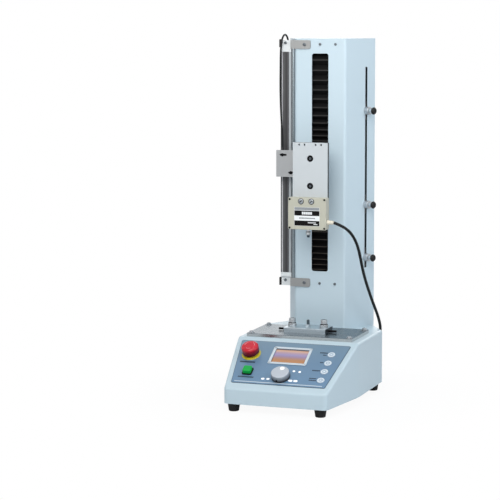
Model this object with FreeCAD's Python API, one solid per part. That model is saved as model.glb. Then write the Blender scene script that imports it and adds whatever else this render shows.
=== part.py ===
import FreeCAD, Part
import math
import os

from FreeCAD import Placement, Rotation, Vector

# Motorised force test stand, millimetres.
# x runs across, y from the front to the back, z up from the floor.
# x = 0 is the plane of symmetry, y = 0 the middle of the base's depth.

# Base housing
base_depth = 380.0
rear_y = 190.0                  # flat rear of base and column, and the front follows from the depth
base_front_width = 218.0
base_rear_width = 263.0
base_fold_back = 147.5          # from the front skirt to where the control slope meets the top
base_chamfer_x = 34.5
base_chamfer_y = 57.0
base_top = 128.5
skirt_top = 47.0
base_wall = 3.0
base_corner_radius = 10.0
base_fold_reach = 15.2          # the round at the side's fold runs this far to either side
base_edge_radius = 5.0
rib_depth = 7.0
rib_thickness = 2.5
rib_first = 32.5                # behind the fold
rib_pitch = 55.0
vent_edge = 70.0                # from the front skirt to the first slot of the base plate
vent_pitch = 9.0
base_plate_thickness = 3.0
plate_gap = 0.3                 # between the base plate and the housing around it

# Rubber feet
foot_height = 16.0
foot_top_radius = 12.5
foot_bottom_radius = 10.5
foot_front_inset = 17.0         # from the base's side to the front feet's axes
foot_rear_inset = 16.5
foot_edge = 14.0                # from the front skirt to the front feet's axes
foot_rear_edge = 72.0

# Control slope: x across, u up the slope from the skirt
overlay_thickness = 1.0
overlay_low_u = 20.0
overlay_high_u = 156.0
overlay_low_half = 99.5
overlay_high_half = 118.5
overlay_corner_radius = 3.0
window_half_width = 35.8
window_low_u = 90.5
window_high_u = 134.5
window_frame_width = 5.5
window_frame_height = 0.8
display_glass_depth = 0.4       # below the housing's face
display_board_margin = 9.0
board_depth = 12.4              # from the housing's face to the board
board_thickness = 1.6
board_left = 56.0               # left of the middle
board_right = 97.0
board_low_u = 32.0
board_high_u = 152.0
key_x = 85.0
key_low_u = 43.1
key_pitch = 27.2
key_count = 4
key_radius = 7.6
key_clearance = 0.3
key_proud = 1.4
key_travel = 0.6
knob_u = 45.5
knob_base_radius = 19.6
knob_top_radius = 18.0
knob_height = 13.4
knob_lift = 0.6
knob_shaft_radius = 3.0
estop_x = -84.5
estop_u = 112.0
estop_ring_radius = 20.0
estop_ring_height = 2.2
estop_barrel_radius = 10.8
estop_barrel_depth = 34.0
estop_head_radius = 18.0
estop_head_low = 6.0            # above the housing's face
estop_head_height = 18.4
estop_rod_radius = 5.5
estop_travel = 2.5
start_x = -74.3
start_u = 55.5
start_cap = 17.4
start_cap_height = 7.2
start_travel = 1.5
start_bezel = 20.6
running_fit = 0.05
hole_clearance = 0.4

# Table and its fixture
table_width = 230.0
table_depth = 125.0
table_thickness = 7.0
force_axis_y = 25.0             # the test axis, also the middle of the table
table_screw_inset = 8.0
table_screw_head_radius = 4.6
table_washer_radius = 7.0
block_width = 92.0
block_depth = 52.0
block_height = 10.0
clamp_x = 35.0
clamp_flange_radius = 8.8
clamp_flange_height = 7.0
clamp_head_radius = 7.0
clamp_head_height = 9.5
clamp_shank_radius = 4.0
stud_radius = 3.0
stud_height = 14.5
stud_nut_flats = 9.0
pin_radius = 2.3
pin_drop = 1.5                  # the pins lie below the block's mid height by this
pin_shift = 3.0                 # and in front of its middle by this
pin_reach = 63.5

# Column
column_front_y = 103.5
column_front_width = 111.0
column_rear_width = 191.0
column_top = 747.0
column_sheet = 2.0
column_fold_radius = 7.0
slot_half_width = 18.3
slot_low = 252.7
slot_high = 715.6
slot_corner_radius = 5.0
side_slot_width = 5.0
side_slot_place = 67.0          # along the angled side, from the front fold
side_slot_low = 258.0
side_slot_high = 686.0
rear_cover_gap = 0.4
spine_half_width = 58.0
spine_leg_half_width = 36.0
spine_front_y = 169.0
spine_thickness = 10.0
spine_rib_depth = 5.5
spine_top = 735.0
spine_foot_height = 12.0
spine_foot_reach = 30.0
rail_x = 42.0
rail_width = 15.0
rail_waist = 10.5
rail_height = 15.0
rail_low = 160.0
rail_high = 728.0
rail_clearance = 0.08
block_half_width = 17.0
slide_block_depth = 27.0
slide_block_length = 40.0
slide_block_spread = 42.0       # from the carriage's middle to a block's middle

# Screw drive
screw_y = 152.0
screw_radius = 8.0
screw_journal_radius = 6.0
screw_top = 730.0
nut_radius = 12.5
nut_length = 42.0
nut_flange_radius = 20.0
nut_flange_half_depth = 13.5
nut_flange_thickness = 8.0
bearing_half_width = 24.0
bearing_reach = 15.0            # in front of the screw's axis
bearing_length = 20.0
bearing_low = 132.0
bearing_high = 706.0
belt_width = 9.0
belt_thickness = 1.5
belt_z = 99.0
belt_clearance = 0.1
screw_pulley_radius = 20.0
motor_pulley_radius = 10.0
pulley_flange = 2.0
motor_y = 75.0
motor_size = 56.4
motor_height = 66.0
motor_shaft_radius = 3.2

# Carriage at rest; the lift joint moves it by -145 to +155
carriage_z = 470.0
saddle_half_width = 57.0
saddle_half_height = 65.0
saddle_front_y = 124.0
arm_half_width = 13.0
arm_half_height = 45.0
arm_pocket = 6.0
front_plate_half_width = 38.0
front_plate_back_y = 46.5
front_plate_thickness = 10.0
front_plate_low = 396.0
front_plate_high = 532.0
front_hole_rows = (12.0, 24.0)
front_hole_radius = 2.1
front_hole_drop = 4.7
front_screw_pitch = 57.6
front_screw_z = 469.8
front_screw_radius = 6.5
front_screw_depth = 8.5

# Bellows
bellows_half_width = 21.0
bellows_set_back = 0.2          # behind the column's front sheet
bellows_depth = 11.0
bellows_sheet = 1.4
bellows_upper_pleats = 13
bellows_lower_pleats = 11
bellows_growth = 1.08           # each pleat hangs this much wider than the one below it
bellows_gap = 0.3

# Force gauge
gauge_width = 83.0
gauge_depth = 21.0
gauge_low = 351.4
gauge_high = 418.0
gauge_corner_radius = 2.5
gauge_lid_depth = 4.5
gauge_groove = 0.4
gauge_shaft_radius = 3.0
gauge_shaft_length = 17.0
gauge_shaft_nut_flats = 9.0
gland_z = 367.0
gland_radius = 4.8
gland_length = 14.0

# Scale and its reader
scale_left = -89.0
scale_right = -65.0
scale_front_y = 106.0
scale_depth = 13.0
scale_low = 238.0
scale_high = 731.0
scale_recess_width = 13.0
scale_recess_depth = 1.0
scale_recess_margin = 9.0
bracket_sheet = 3.0
bracket_inner_x = -20.9
bracket_height = 18.0
bracket_low = 218.4
bracket_high = 725.5
bracket_return = 11.5
rod_radius = 3.0
rod_x = -60.2
rod_y = 105.0
reader_sheet = 2.5
reader_front_y = 86.0
reader_left = -92.0
reader_low = 454.7
reader_high = 511.5
reader_head_left = -88.0
reader_head_right = -66.0
reader_head_low = 459.0
reader_head_high = 507.0
reader_gap = 0.5

# Travel stops in the right side slot
stop_heights = {"upper": 594.0, "middle": 393.5, "lower": 279.5}
stop_collar_radius = 8.4
stop_collar_length = 10.6
stop_nut_width = 13.0
stop_nut_height = 40.0
stop_nut_thickness = 4.0
stop_switch_depth = 8.0
stop_gap = 0.3
stop_knob_radius = 8.1
stop_knob_length = 12.4
stop_knob_rim = 3.0
stop_knob_face_radius = 5.6
stop_neck_radius = 3.6
stop_neck_length = 1.2
stop_stud_radius = 1.7

# Rear connections
rear_opening_half_width = 72.0
rear_opening_low = 38.0
rear_opening_high = 106.0
rear_panel_thickness = 2.0
inlet_x = -52.0
inlet_z = 72.0
inlet_width = 30.0
inlet_height = 56.0
inlet_flange = 2.2
inlet_body_depth = 26.0
rocker_z = 86.0
rocker_tilt = 8.0
rocker_pivot_depth = 7.0
rocker_half_height = 8.5
rocker_half_width = 6.0
rocker_pin_radius = 1.6
rocker_pin_reach = 1.6
socket_x = 50.0
socket_z = 72.0
socket_radius = 8.0
socket_barrel_radius = 4.5
plug_radius = 6.5
plug_gap = 0.3
plug_turn = 35.0                # the cable leaves the elbow this far above the horizontal
plug_arm = 13.0
supply_size = (78.0, 110.0, 36.0)
supply_gap = 3.5                # from the housing's ribs
supply_front_y = -28.0

# Cables
sensor_cable_diameter = 5.5
sensor_route = [
    (55.5, 26.0, 367.0), (74.2, 29.2, 360.2), (89.1, 36.6, 346.4), (96.8, 46.3, 328.6),
    (100.1, 56.9, 309.9), (101.3, 67.2, 290.6), (101.9, 77.3, 271.2), (103.0, 88.1, 252.1),
    (104.7, 99.6, 233.5), (106.8, 111.7, 215.4), (108.9, 124.4, 197.6), (110.9, 137.9, 180.5),
    (112.8, 152.0, 163.8), (114.4, 165.1, 146.4), (114.6, 177.5, 128.3), (110.4, 190.7, 111.4),
    (97.3, 201.4, 97.9), (78.1, 205.8, 88.5), (60.6, 206.0, 79.5)]
reader_cable_diameter = 4.0
reader_route = [
    (-81.0, 97.5, 507.0), (-81.4, 97.6, 519.7), (-82.0, 97.8, 533.7), (-82.8, 98.0, 547.8),
    (-83.7, 98.2, 561.9), (-84.6, 98.4, 575.9), (-85.4, 98.5, 590.0), (-86.1, 98.6, 604.0),
    (-86.6, 98.8, 618.1), (-87.0, 99.0, 632.2), (-87.3, 99.3, 646.3), (-87.4, 99.8, 660.4),
    (-87.4, 100.2, 674.4), (-87.2, 100.1, 688.5), (-86.8, 99.2, 702.6), (-86.2, 98.4, 716.6),
    (-85.6, 99.1, 730.7), (-85.1, 103.0, 744.1), (-85.0, 113.1, 753.5), (-85.0, 126.8, 755.6),
    (-85.0, 139.5, 749.8), (-85.2, 146.3, 737.7), (-85.4, 148.4, 723.8), (-85.6, 148.3, 709.7),
    (-85.4, 148.2, 695.6), (-81.9, 150.0, 682.2), (-75.2, 153.3, 672.0)]
bend_share = 0.45               # of the shorter run on either side of a bend

# Values that follow from those above
front_y = rear_y - base_depth
fold_y = front_y + base_fold_back
supply_corner = (-(base_rear_width / 2 - base_wall - rib_depth - supply_gap), supply_front_y)
fold_turn = math.atan2((base_rear_width - base_front_width) / 2, base_fold_back)
base_fold_radius = base_fold_reach / math.tan(fold_turn / 2)
slope_angle = math.degrees(math.atan2(base_top - skirt_top, base_fold_back))
plate_top = foot_height + base_plate_thickness
table_top = base_top + table_thickness
block_top = table_top + block_height
facet = Vector(column_rear_width / 2 - column_front_width / 2, rear_y - column_front_y, 0)
facet_length = facet.Length
facet_along = Vector(facet).normalize()
facet_out = Vector(facet_along.y, -facet_along.x, 0)
front_plate_front_y = front_plate_back_y - front_plate_thickness
saddle_back_y = spine_front_y - rail_height - slide_block_depth + 9.0
gauge_back_y = front_plate_front_y
gauge_front_y = gauge_back_y - gauge_depth
gauge_middle_y = gauge_back_y - gauge_depth / 2
gauge_axis_y = force_axis_y
rear_panel_front_y = rear_y - base_wall - rear_panel_thickness
overlay_top = overlay_thickness


def at_z(z, places):
    return [Vector(x, y, z) for x, y in places]


def at_y(y, places):
    return [Vector(x, y, z) for x, z in places]


def at_x(x, places):
    return [Vector(x, y, z) for y, z in places]


def box(x0, x1, y0, y1, z0, z1):
    return Part.makeBox(x1 - x0, y1 - y0, z1 - z0, Vector(x0, y0, z0))


def rod(start, axis, radius, length):
    return Part.makeCylinder(radius, length, Vector(*start), Vector(*axis))


def cone(start, axis, radius_start, radius_end, length):
    return Part.makeCone(radius_start, radius_end, length, Vector(*start), Vector(*axis))


def corner_arc(before, corner, after, radius):
    one = (before - corner).normalize()
    two = (after - corner).normalize()
    half = one.getAngle(two) / 2
    reach = radius / math.tan(half)
    bisector = (one + two).normalize()
    middle = corner + bisector * (radius / math.sin(half) - radius)
    return corner + one * reach, middle, corner + two * reach


def rounded_outline(points, radii):
    """A closed wire through the points, each corner rounded by its radius."""
    count = len(points)
    if not isinstance(radii, (list, tuple)):
        radii = [radii] * count
    arcs = []
    for i, point in enumerate(points):
        if radii[i] > 0:
            arcs.append(corner_arc(points[i - 1], point, points[(i + 1) % count], radii[i]))
        else:
            arcs.append((point, None, point))
    edges = []
    for i, (start, middle, end) in enumerate(arcs):
        if middle is not None:
            edges.append(Part.Arc(start, middle, end).toShape())
        following = arcs[(i + 1) % count][0]
        if (following - end).Length > 1e-6:
            edges.append(Part.LineSegment(end, following).toShape())
    return Part.Wire(edges)


def extruded(points, radii, direction):
    return Part.Face(rounded_outline(points, radii)).extrude(Vector(*direction))


def inset(points, distance):
    """The corners of a convex outline, given anticlockwise, moved in by a distance."""
    moved = []
    count = len(points)
    for i in range(count):
        before, here, after = points[i - 1], points[i], points[(i + 1) % count]
        one = (here - before).normalize()
        two = (after - here).normalize()
        normal_one = Vector(-one.y, one.x, 0)
        normal_two = Vector(-two.y, two.x, 0)
        spread = 1 + normal_one.dot(normal_two)
        moved.append(here + (normal_one + normal_two) * (distance / spread))
    return moved


def raised(points, z):
    return [Vector(p.x, p.y, z) for p in points]


def on_panel(shape):
    """Moves a shape drawn with x across, y up the slope and z out of it to the slope."""
    shape = shape.copy()
    shape.Placement = Placement(Vector(0, front_y, skirt_top), Rotation(Vector(1, 0, 0), slope_angle))
    return shape


def on_facet(shape):
    """Moves a shape drawn with x along the right side, y into the column, z up, to the side slot."""
    place = Vector(column_front_width / 2, column_front_y, 0) + facet_along * side_slot_place
    shape = shape.copy()
    turn = math.degrees(math.atan2(facet_along.y, facet_along.x))
    shape.Placement = Placement(place, Rotation(Vector(0, 0, 1), turn)).multiply(shape.Placement)
    return shape


def hexagon(centre, flats, height):
    reach = flats / math.sqrt(3)
    corners = [centre + Vector(reach * math.cos(a), reach * math.sin(a), 0)
               for a in (math.radians(60 * i) for i in range(6))]
    return extruded(corners, 0, (0, 0, height))


def turned(profile, x, y):
    """A solid turned about the vertical line at x, y from (radius, z) or (radius, z, rounding) places."""
    points = [Vector(x + place[0], y, place[1]) for place in profile]
    rounding = [place[2] if len(place) > 2 else 0 for place in profile]
    face = Part.Face(rounded_outline(points, rounding))
    return face.revolve(Vector(x, y, 0), Vector(0, 0, 1), 360)


def group(shapes):
    return Part.makeCompound(shapes)


def cable_seat(route, diameter):
    """The room that a cable's first run takes up in the piece that it starts on."""
    start = Vector(*route[0])
    way = Vector(*route[1]) - start
    return Part.makeCylinder(diameter / 2, way.Length / 2, start, way)


def save(name, shape):
    solids = shape.Solids
    shape = solids[0] if len(solids) == 1 else Part.makeCompound(solids)
    shape.exportStep(f"parts/{name}.step")
    volume = shape.Volume / 1000
    print(f"{name:18s} solids {len(solids)}  volume {volume:9.2f} cm3  valid {shape.isValid()}")


# Base

def base_plan():
    half_front = base_front_width / 2
    half_rear = base_rear_width / 2
    half_back = half_rear - base_chamfer_x
    chamfer_start = rear_y - base_chamfer_y
    right = [(half_front, front_y), (half_rear, fold_y), (half_rear, chamfer_start), (half_back, rear_y)]
    left = [(-x, y) for x, y in reversed(right)]
    return at_z(0, right + left)


def base_form(wall):
    """The closed outer form of the base, or the room inside its walls."""
    soft = max(base_corner_radius - wall, 1)
    fold = base_fold_radius - wall
    radii = [soft, fold, soft, soft, soft, soft, fold, soft]
    low = foot_height if wall == 0 else foot_height - 1
    plan = raised(inset(base_plan(), wall), low)
    form = extruded(plan, radii, (0, 0, base_top - wall - low))
    slope = math.radians(slope_angle)
    drop = wall / math.cos(slope)
    run = math.tan(slope)
    far = 20.0
    wedge = at_x(-base_rear_width, [
        (front_y - far, skirt_top - drop - far * run),
        (fold_y + far, base_top - drop + far * run),
        (front_y - far, base_top + far * run)])
    return form.cut(extruded(wedge, 0, (2 * base_rear_width, 0, 0)))


def soft_edges(form):
    """The edges round the top and the control slope, which are cast with a radius."""
    chosen = []
    for edge in form.Edges:
        box_ = edge.BoundBox
        middle = edge.valueAt((edge.FirstParameter + edge.LastParameter) / 2)
        level = base_top if middle.y > fold_y else None
        on_top = abs(box_.ZMin - base_top) < 0.01 and abs(box_.ZMax - base_top) < 0.01
        slope_z = skirt_top + (middle.y - front_y) * math.tan(math.radians(slope_angle))
        on_slope = level is None and abs(middle.z - slope_z) < 0.01
        if on_top or on_slope:
            chosen.append(edge)
    return chosen


def panel_hole(x, u, radius):
    deep = base_wall * 3
    return on_panel(rod((x, u, -deep), (0, 0, 1), radius, deep * 2))


def panel_window(margin, low, high):
    half = window_half_width + margin
    return on_panel(box(-half, half, window_low_u - margin, window_high_u + margin, low, high))


def key_places():
    return [(key_x, key_low_u + i * key_pitch) for i in range(key_count)]


def panel_openings():
    """What passes through the control slope."""
    cuts = [panel_hole(estop_x, estop_u, estop_barrel_radius + hole_clearance),
            panel_hole(start_x, start_u, 8.0 + hole_clearance),
            panel_hole(0, knob_u, 5.0)]
    cuts += [panel_hole(x, u, key_radius + key_clearance) for x, u in key_places()]
    cuts.append(panel_window(0.5, -3 * base_wall, 3 * base_wall))
    return cuts


def table_screw_places():
    x = table_width / 2 - table_screw_inset
    y = table_depth / 2 - table_screw_inset
    return [(sx * x, force_axis_y + sy * y) for sx in (-1, 1) for sy in (-1, 1)]


def base_housing():
    outer = base_form(0)
    outer = outer.makeFillet(base_edge_radius, soft_edges(outer))
    shell = outer.cut(base_form(base_wall))
    ribs = []
    inner = base_rear_width / 2 - base_wall
    for y in (fold_y + rib_first + i * rib_pitch for i in range(3)):
        for side in (-1, 1):
            x0, x1 = sorted((side * (inner - rib_depth), side * (inner + 1)))
            ribs.append(box(x0, x1, y, y + rib_thickness, plate_top + 1, base_top - 1))
    for x in (-60, 60):
        ribs.append(box(x, x + rib_thickness, front_y + 1, front_y + base_wall + rib_depth,
                        plate_top + 1, skirt_top - 8))
    shell = shell.fuse(ribs).removeSplitter()
    cuts = panel_openings()
    back = rear_panel_front_y
    cuts.append(box(-spine_half_width - 4, spine_half_width + 4, saddle_front_y, back,
                    base_top - 2 * base_wall, base_top + 1))
    cuts.append(box(-rear_opening_half_width, rear_opening_half_width, rear_y - 3 * base_wall,
                    rear_y + 1, rear_opening_low, rear_opening_high))
    for x, y in table_screw_places():
        cuts.append(rod((x, y, base_top - 2 * base_wall), (0, 0, 1), 2.5, 3 * base_wall))
    for x in (-clamp_x, clamp_x):
        cuts.append(rod((x, force_axis_y, base_top - 2 * base_wall), (0, 0, 1),
                        clamp_shank_radius + hole_clearance, 3 * base_wall))
    return shell.cut(cuts)


def base_plate():
    plan = raised(inset(base_plan(), base_wall + plate_gap), foot_height)
    soft = base_corner_radius - base_wall
    fold = base_fold_radius - base_wall
    plate = extruded(plan, [soft, fold, soft, soft, soft, soft, fold, soft],
                     (0, 0, base_plate_thickness))
    slots = []
    for i in range(7):
        y = front_y + vent_edge + i * vent_pitch
        slots.append(extruded(at_z(foot_height - 1, [(30, y), (80, y), (80, y + 4), (30, y + 4)]),
                              1.9, (0, 0, base_plate_thickness + 2)))
    for x, y in foot_places():
        slots.append(rod((x, y, foot_height - 1), (0, 0, 1), 2.2, base_plate_thickness + 2))
    return plate.cut(slots)


def foot_places():
    front_x = base_front_width / 2 - foot_front_inset
    rear_x = base_rear_width / 2 - foot_rear_inset
    front = front_y + foot_edge
    rear = rear_y - foot_rear_edge
    return [(-front_x, front), (front_x, front), (-rear_x, rear), (rear_x, rear)]


def rubber_feet():
    feet = []
    for x, y in foot_places():
        feet.append(turned([(3.0, 6.0), (5.5, 6.0), (5.5, 0), (foot_bottom_radius - 1, 0),
                            (foot_bottom_radius, 1), (foot_top_radius, foot_height - 1.5),
                            (foot_top_radius - 0.8, foot_height), (3.0, foot_height)], x, y))
    return group(feet)


# Control panel

def control_panel():
    corners = [(-overlay_low_half, overlay_low_u), (overlay_low_half, overlay_low_u),
               (overlay_high_half, overlay_high_u), (-overlay_high_half, overlay_high_u)]
    sheet = extruded(at_z(0, corners), overlay_corner_radius, (0, 0, overlay_thickness))
    half = window_half_width
    frame = half + window_frame_width
    low = window_low_u - window_frame_width
    high = window_high_u + window_frame_width
    border = extruded(at_z(overlay_thickness, [(-frame, low), (frame, low), (frame, high), (-frame, high)]),
                      1.5, (0, 0, window_frame_height))
    overlay = on_panel(sheet.fuse(border))
    opening = panel_window(0, -1, overlay_thickness + window_frame_height + 1)
    return overlay.cut(panel_openings()[:-1] + [opening])


def display_module():
    glass = box(-window_half_width, window_half_width, window_low_u, window_high_u,
                -board_depth + 3, -display_glass_depth)
    margin = display_board_margin
    back = box(-window_half_width - margin, window_half_width + margin,
               window_low_u - margin, window_high_u + margin, -board_depth, -board_depth + 3)
    return on_panel(glass.fuse(back))


def control_board():
    low = -board_depth - board_thickness
    board = box(-board_left, board_right, board_low_u, board_high_u, low, -board_depth)
    pieces = []
    post_places = [(x, u) for x in (4 - board_left, board_right - 4)
                   for u in (board_low_u + 2, board_high_u - 4)]
    for x, u in post_places:
        pieces.append(rod((x, u, -board_depth), (0, 0, 1), 2.8, board_depth - base_wall))
    pieces.append(box(-7, 7, knob_u - 7, knob_u + 7, -board_depth, -board_depth + 6.5))
    pieces.append(rod((0, knob_u, -board_depth), (0, 0, 1), 4.5, board_depth))
    pieces.append(rod((0, knob_u, 0), (0, 0, 1), knob_shaft_radius,
                      overlay_top + knob_lift + knob_height - 5))
    for x, u in key_places():
        pieces.append(box(x - 4, x + 4, u - 4, u + 4, -board_depth, -board_depth + 5))
    return on_panel(board.fuse(pieces).removeSplitter())


def speed_knob():
    low = overlay_top + knob_lift
    top = low + knob_height
    body = turned([(0, low), (knob_base_radius, low, 0.6), (knob_top_radius + 0.4, top, 1.5), (0, top)],
                  0, knob_u)
    bore = rod((0, knob_u, low - 1), (0, 0, 1), knob_shaft_radius + running_fit, knob_height - 3)
    dimple = Part.makeSphere(6.5, Vector(2.0, knob_u + 10.8, top + 4.6))
    set_screw = rod((-3, knob_u - knob_base_radius - 1, low + 5), (0, 1, 0), 1.4, 8)
    return on_panel(body.cut([bore, dimple, set_screw]))


def estop_collar():
    ring_top = overlay_top + estop_ring_height
    deep = -estop_barrel_depth
    ring = turned([(estop_rod_radius + running_fit, deep), (estop_barrel_radius, deep),
                   (estop_barrel_radius, overlay_top), (estop_ring_radius, overlay_top),
                   (estop_ring_radius, overlay_top + 1.4, 0.6),
                   (estop_barrel_radius + 2, ring_top + 0.5, 3.0),
                   (estop_rod_radius + running_fit, ring_top + 0.5)], estop_x, estop_u)
    nut = turned([(estop_barrel_radius - 0.5, -base_wall - 5), (15, -base_wall - 5),
                  (15, -base_wall), (estop_barrel_radius - 0.5, -base_wall)], estop_x, estop_u)
    contacts = box(estop_x - 14, estop_x + 14, estop_u - 14, estop_u + 14, deep - 22, deep + 0.5)
    bore = rod((estop_x, estop_u, deep - 6), (0, 0, 1), estop_rod_radius + running_fit, 10)
    contacts = contacts.cut(bore)
    return on_panel(ring.fuse([nut, contacts]))


def estop_plunger():
    length = estop_barrel_depth + estop_head_low + estop_head_height - 6
    body = rod((estop_x, estop_u, -estop_barrel_depth), (0, 0, 1), estop_rod_radius, length)
    return on_panel(body)


def estop_head():
    low = estop_head_low
    top = low + estop_head_height
    r = estop_head_radius
    bore = estop_rod_radius + running_fit
    roof = top - 5.6
    recess = estop_barrel_radius + 2
    outline = [(bore, low + 2), (recess, low + 2), (recess, low), (r, low, 2.4),
               (r, top - 0.9, 5.0), (r - 9, top, 20.0), (0, top), (0, roof), (bore, roof)]
    head = turned(outline, estop_x, estop_u)
    grips = []
    for i in range(3):
        a = math.radians(90 + 120 * i)
        grips.append(Part.makeSphere(9.0, Vector(estop_x + 15.5 * math.cos(a),
                                                 estop_u + 15.5 * math.sin(a), top + 7.2)))
    return on_panel(head.cut(grips))


def square(x, y, half):
    return [(x - half, y - half), (x + half, y - half), (x + half, y + half), (x - half, y + half)]


def start_switch():
    half = start_bezel / 2
    hole = start_cap / 2 + key_clearance
    top = overlay_top + 3.0
    bezel = extruded(at_z(overlay_top, square(start_x, start_u, half)), 3.0, (0, 0, 3.0))
    inner = box(start_x - hole, start_x + hole, start_u - hole, start_u + hole, overlay_top + 0.6, top + 1)
    barrel = rod((start_x, start_u, -24), (0, 0, 1), 8.0, 24 + overlay_top + 0.6)
    bore = rod((start_x, start_u, -14), (0, 0, 1), 4.0 + running_fit, 20)
    return on_panel(bezel.cut(inner).fuse(barrel).cut(bore))


def start_button():
    half = start_cap / 2
    low = overlay_top + 0.6 + start_travel + 0.4
    cap = extruded(at_z(low, square(start_x, start_u, half)), 3.5, (0, 0, start_cap_height))
    top = low + start_cap_height
    cap = cap.makeFillet(1.2, [e for e in cap.Edges if abs(e.BoundBox.ZMin - top) < 0.01])
    stem = rod((start_x, start_u, -14 + start_travel + 0.4), (0, 0, 1), 4.0, 14 + low - start_travel - 0.4)
    return on_panel(cap.fuse(stem))


def key_cap(x, u):
    top = overlay_top + key_proud
    r = key_radius
    cap = turned([(0, -4), (r, -4, 0.5), (r, top, 0.5), (r - 2.2, top),
                  (r - 2.6, top - 0.35), (0, top - 0.35)], x, u)
    switch_top = -board_depth + 5
    stem = rod((x, u, switch_top + key_travel + 0.3), (0, 0, 1), 2.0, -4 - switch_top - key_travel)
    return on_panel(cap.fuse(stem))


# Table and fixture

def table_plate():
    half = table_width / 2
    y0 = force_axis_y - table_depth / 2
    y1 = force_axis_y + table_depth / 2
    plate = extruded(at_z(base_top, [(-half, y0), (half, y0), (half, y1), (-half, y1)]),
                     2.0, (0, 0, table_thickness))
    cuts = [rod((x, y, base_top - 1), (0, 0, 1), 2.7, table_thickness + 2) for x, y in table_screw_places()]
    cuts += [rod((x, force_axis_y, base_top - 1), (0, 0, 1), clamp_shank_radius + hole_clearance,
                 table_thickness + 2) for x in (-clamp_x, clamp_x)]
    return plate.cut(cuts)


def table_screws():
    screws = []
    for x, y in table_screw_places():
        washer = turned([(2.4, table_top), (table_washer_radius, table_top),
                         (table_washer_radius, table_top + 1.2), (2.4, table_top + 1.2)], x, y)
        head = turned([(0, base_top - 4), (2.4, base_top - 4), (2.4, table_top + 1.2),
                       (table_screw_head_radius, table_top + 1.2),
                       (table_screw_head_radius, table_top + 3.4),
                       (table_screw_head_radius - 1, table_top + 4.4), (0, table_top + 4.4)], x, y)
        socket = hexagon(Vector(x, y, table_top + 2.2), 4.0, 4)
        screws.append(washer.fuse(head).cut(socket))
    return group(screws)


def fixture_block():
    half = block_width / 2
    y0 = force_axis_y - block_depth / 2
    y1 = force_axis_y + block_depth / 2
    block = extruded(at_z(table_top, [(-half, y0), (half, y0), (half, y1), (-half, y1)]),
                     1.5, (0, 0, block_height))
    top_edges = [e for e in block.Edges if abs(e.BoundBox.ZMin - block_top) < 0.01]
    block = block.makeChamfer(0.6, top_edges)
    cuts = [rod((x, force_axis_y, table_top - 1), (0, 0, 1), clamp_shank_radius + hole_clearance,
                block_height + 2) for x in (-clamp_x, clamp_x)]
    for side in (-1, 1):
        cuts.append(rod((side * (half + 1), pin_y(), pin_z()), (-side, 0, 0), pin_radius, 6))
    nut = hexagon(Vector(0, force_axis_y, block_top), stud_nut_flats, 5.0)
    stud = turned([(0, block_top), (stud_radius, block_top), (stud_radius, block_top + stud_height - 0.6),
                   (stud_radius - 0.6, block_top + stud_height), (0, block_top + stud_height)],
                  0, force_axis_y)
    return block.cut(cuts).fuse([nut, stud]).removeSplitter()


def pin_z():
    return table_top + block_height / 2 - pin_drop


def pin_y():
    return force_axis_y - pin_shift


def fixture_clamps():
    clamps = []
    for x in (-clamp_x, clamp_x):
        shank = rod((x, force_axis_y, base_top - 8), (0, 0, 1), clamp_shank_radius,
                    block_top - base_top + 8)
        r0, r1 = clamp_flange_radius, clamp_head_radius
        z1 = block_top + clamp_flange_height
        z2 = z1 + clamp_head_height
        body = turned([(0, block_top), (r0, block_top, 0.6), (r0, z1, 1.3), (r1, z1), (r1, z2, 0.8),
                       (0, z2)], x, force_axis_y)
        socket = hexagon(Vector(x, force_axis_y, z2 - 5), 7.0, 6)
        clamps.append(body.fuse(shank).cut(socket))
    return group(clamps)


def fixture_pins():
    pins = []
    inner = block_width / 2 - 5
    for side in (-1, 1):
        start = (side * inner, pin_y(), pin_z())
        pins.append(rod(start, (side, 0, 0), pin_radius, pin_reach - inner))
    return group(pins)


# Drive

def belt_loop(extra, low, height):
    """The outline of a belt round both pulleys, grown by a distance."""
    small = motor_pulley_radius + extra
    large = screw_pulley_radius + extra
    span = screw_y - motor_y
    lean = (small - large) / span
    across = math.sqrt(1 - lean * lean)
    right = [Vector(small * across, motor_y + small * lean, low),
             Vector(large * across, screw_y + large * lean, low)]
    left = [Vector(-p.x, p.y, low) for p in right]
    edges = [Part.LineSegment(right[0], right[1]).toShape(),
             Part.Arc(right[1], Vector(0, screw_y + large, low), left[1]).toShape(),
             Part.LineSegment(left[1], left[0]).toShape(),
             Part.Arc(left[0], Vector(0, motor_y - small, low), right[0]).toShape()]
    return Part.Face(Part.Wire(edges)).extrude(Vector(0, 0, height))


def timing_belt():
    outer = belt_loop(belt_clearance + belt_thickness, belt_z, belt_width)
    return outer.cut(belt_loop(belt_clearance, belt_z - 1, belt_width + 2))


def pulley(radius, y, bore):
    low = belt_z - belt_clearance
    high = belt_z + belt_width + belt_clearance
    rim = radius + 1.2
    return turned([(bore, low - pulley_flange), (rim, low - pulley_flange), (rim, low - 0.6), (radius, low),
                   (radius, high), (rim, high + 0.6), (rim, high + pulley_flange),
                   (bore, high + pulley_flange)], 0, y)


def drive_motor():
    half = motor_size / 2
    low = plate_top
    corners = at_z(low, [(-half, motor_y - half), (half, motor_y - half),
                         (half, motor_y + half), (-half, motor_y + half)])
    body = extruded(corners, 5.0, (0, 0, motor_height))
    band_low = low + 10
    band = extruded(at_z(band_low, [(-half - 1, motor_y - half - 1), (half + 1, motor_y - half - 1),
                                    (half + 1, motor_y + half + 1), (-half - 1, motor_y + half + 1)]),
                    5.0, (0, 0, motor_height - 20))
    core = extruded(at_z(band_low, square(0, motor_y, half - 1.5)), 7.0, (0, 0, motor_height - 20))
    body = body.cut(band.cut(core))
    boss = rod((0, motor_y, low + motor_height), (0, 0, 1), 19.0, 1.6)
    return body.fuse(boss)


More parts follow.
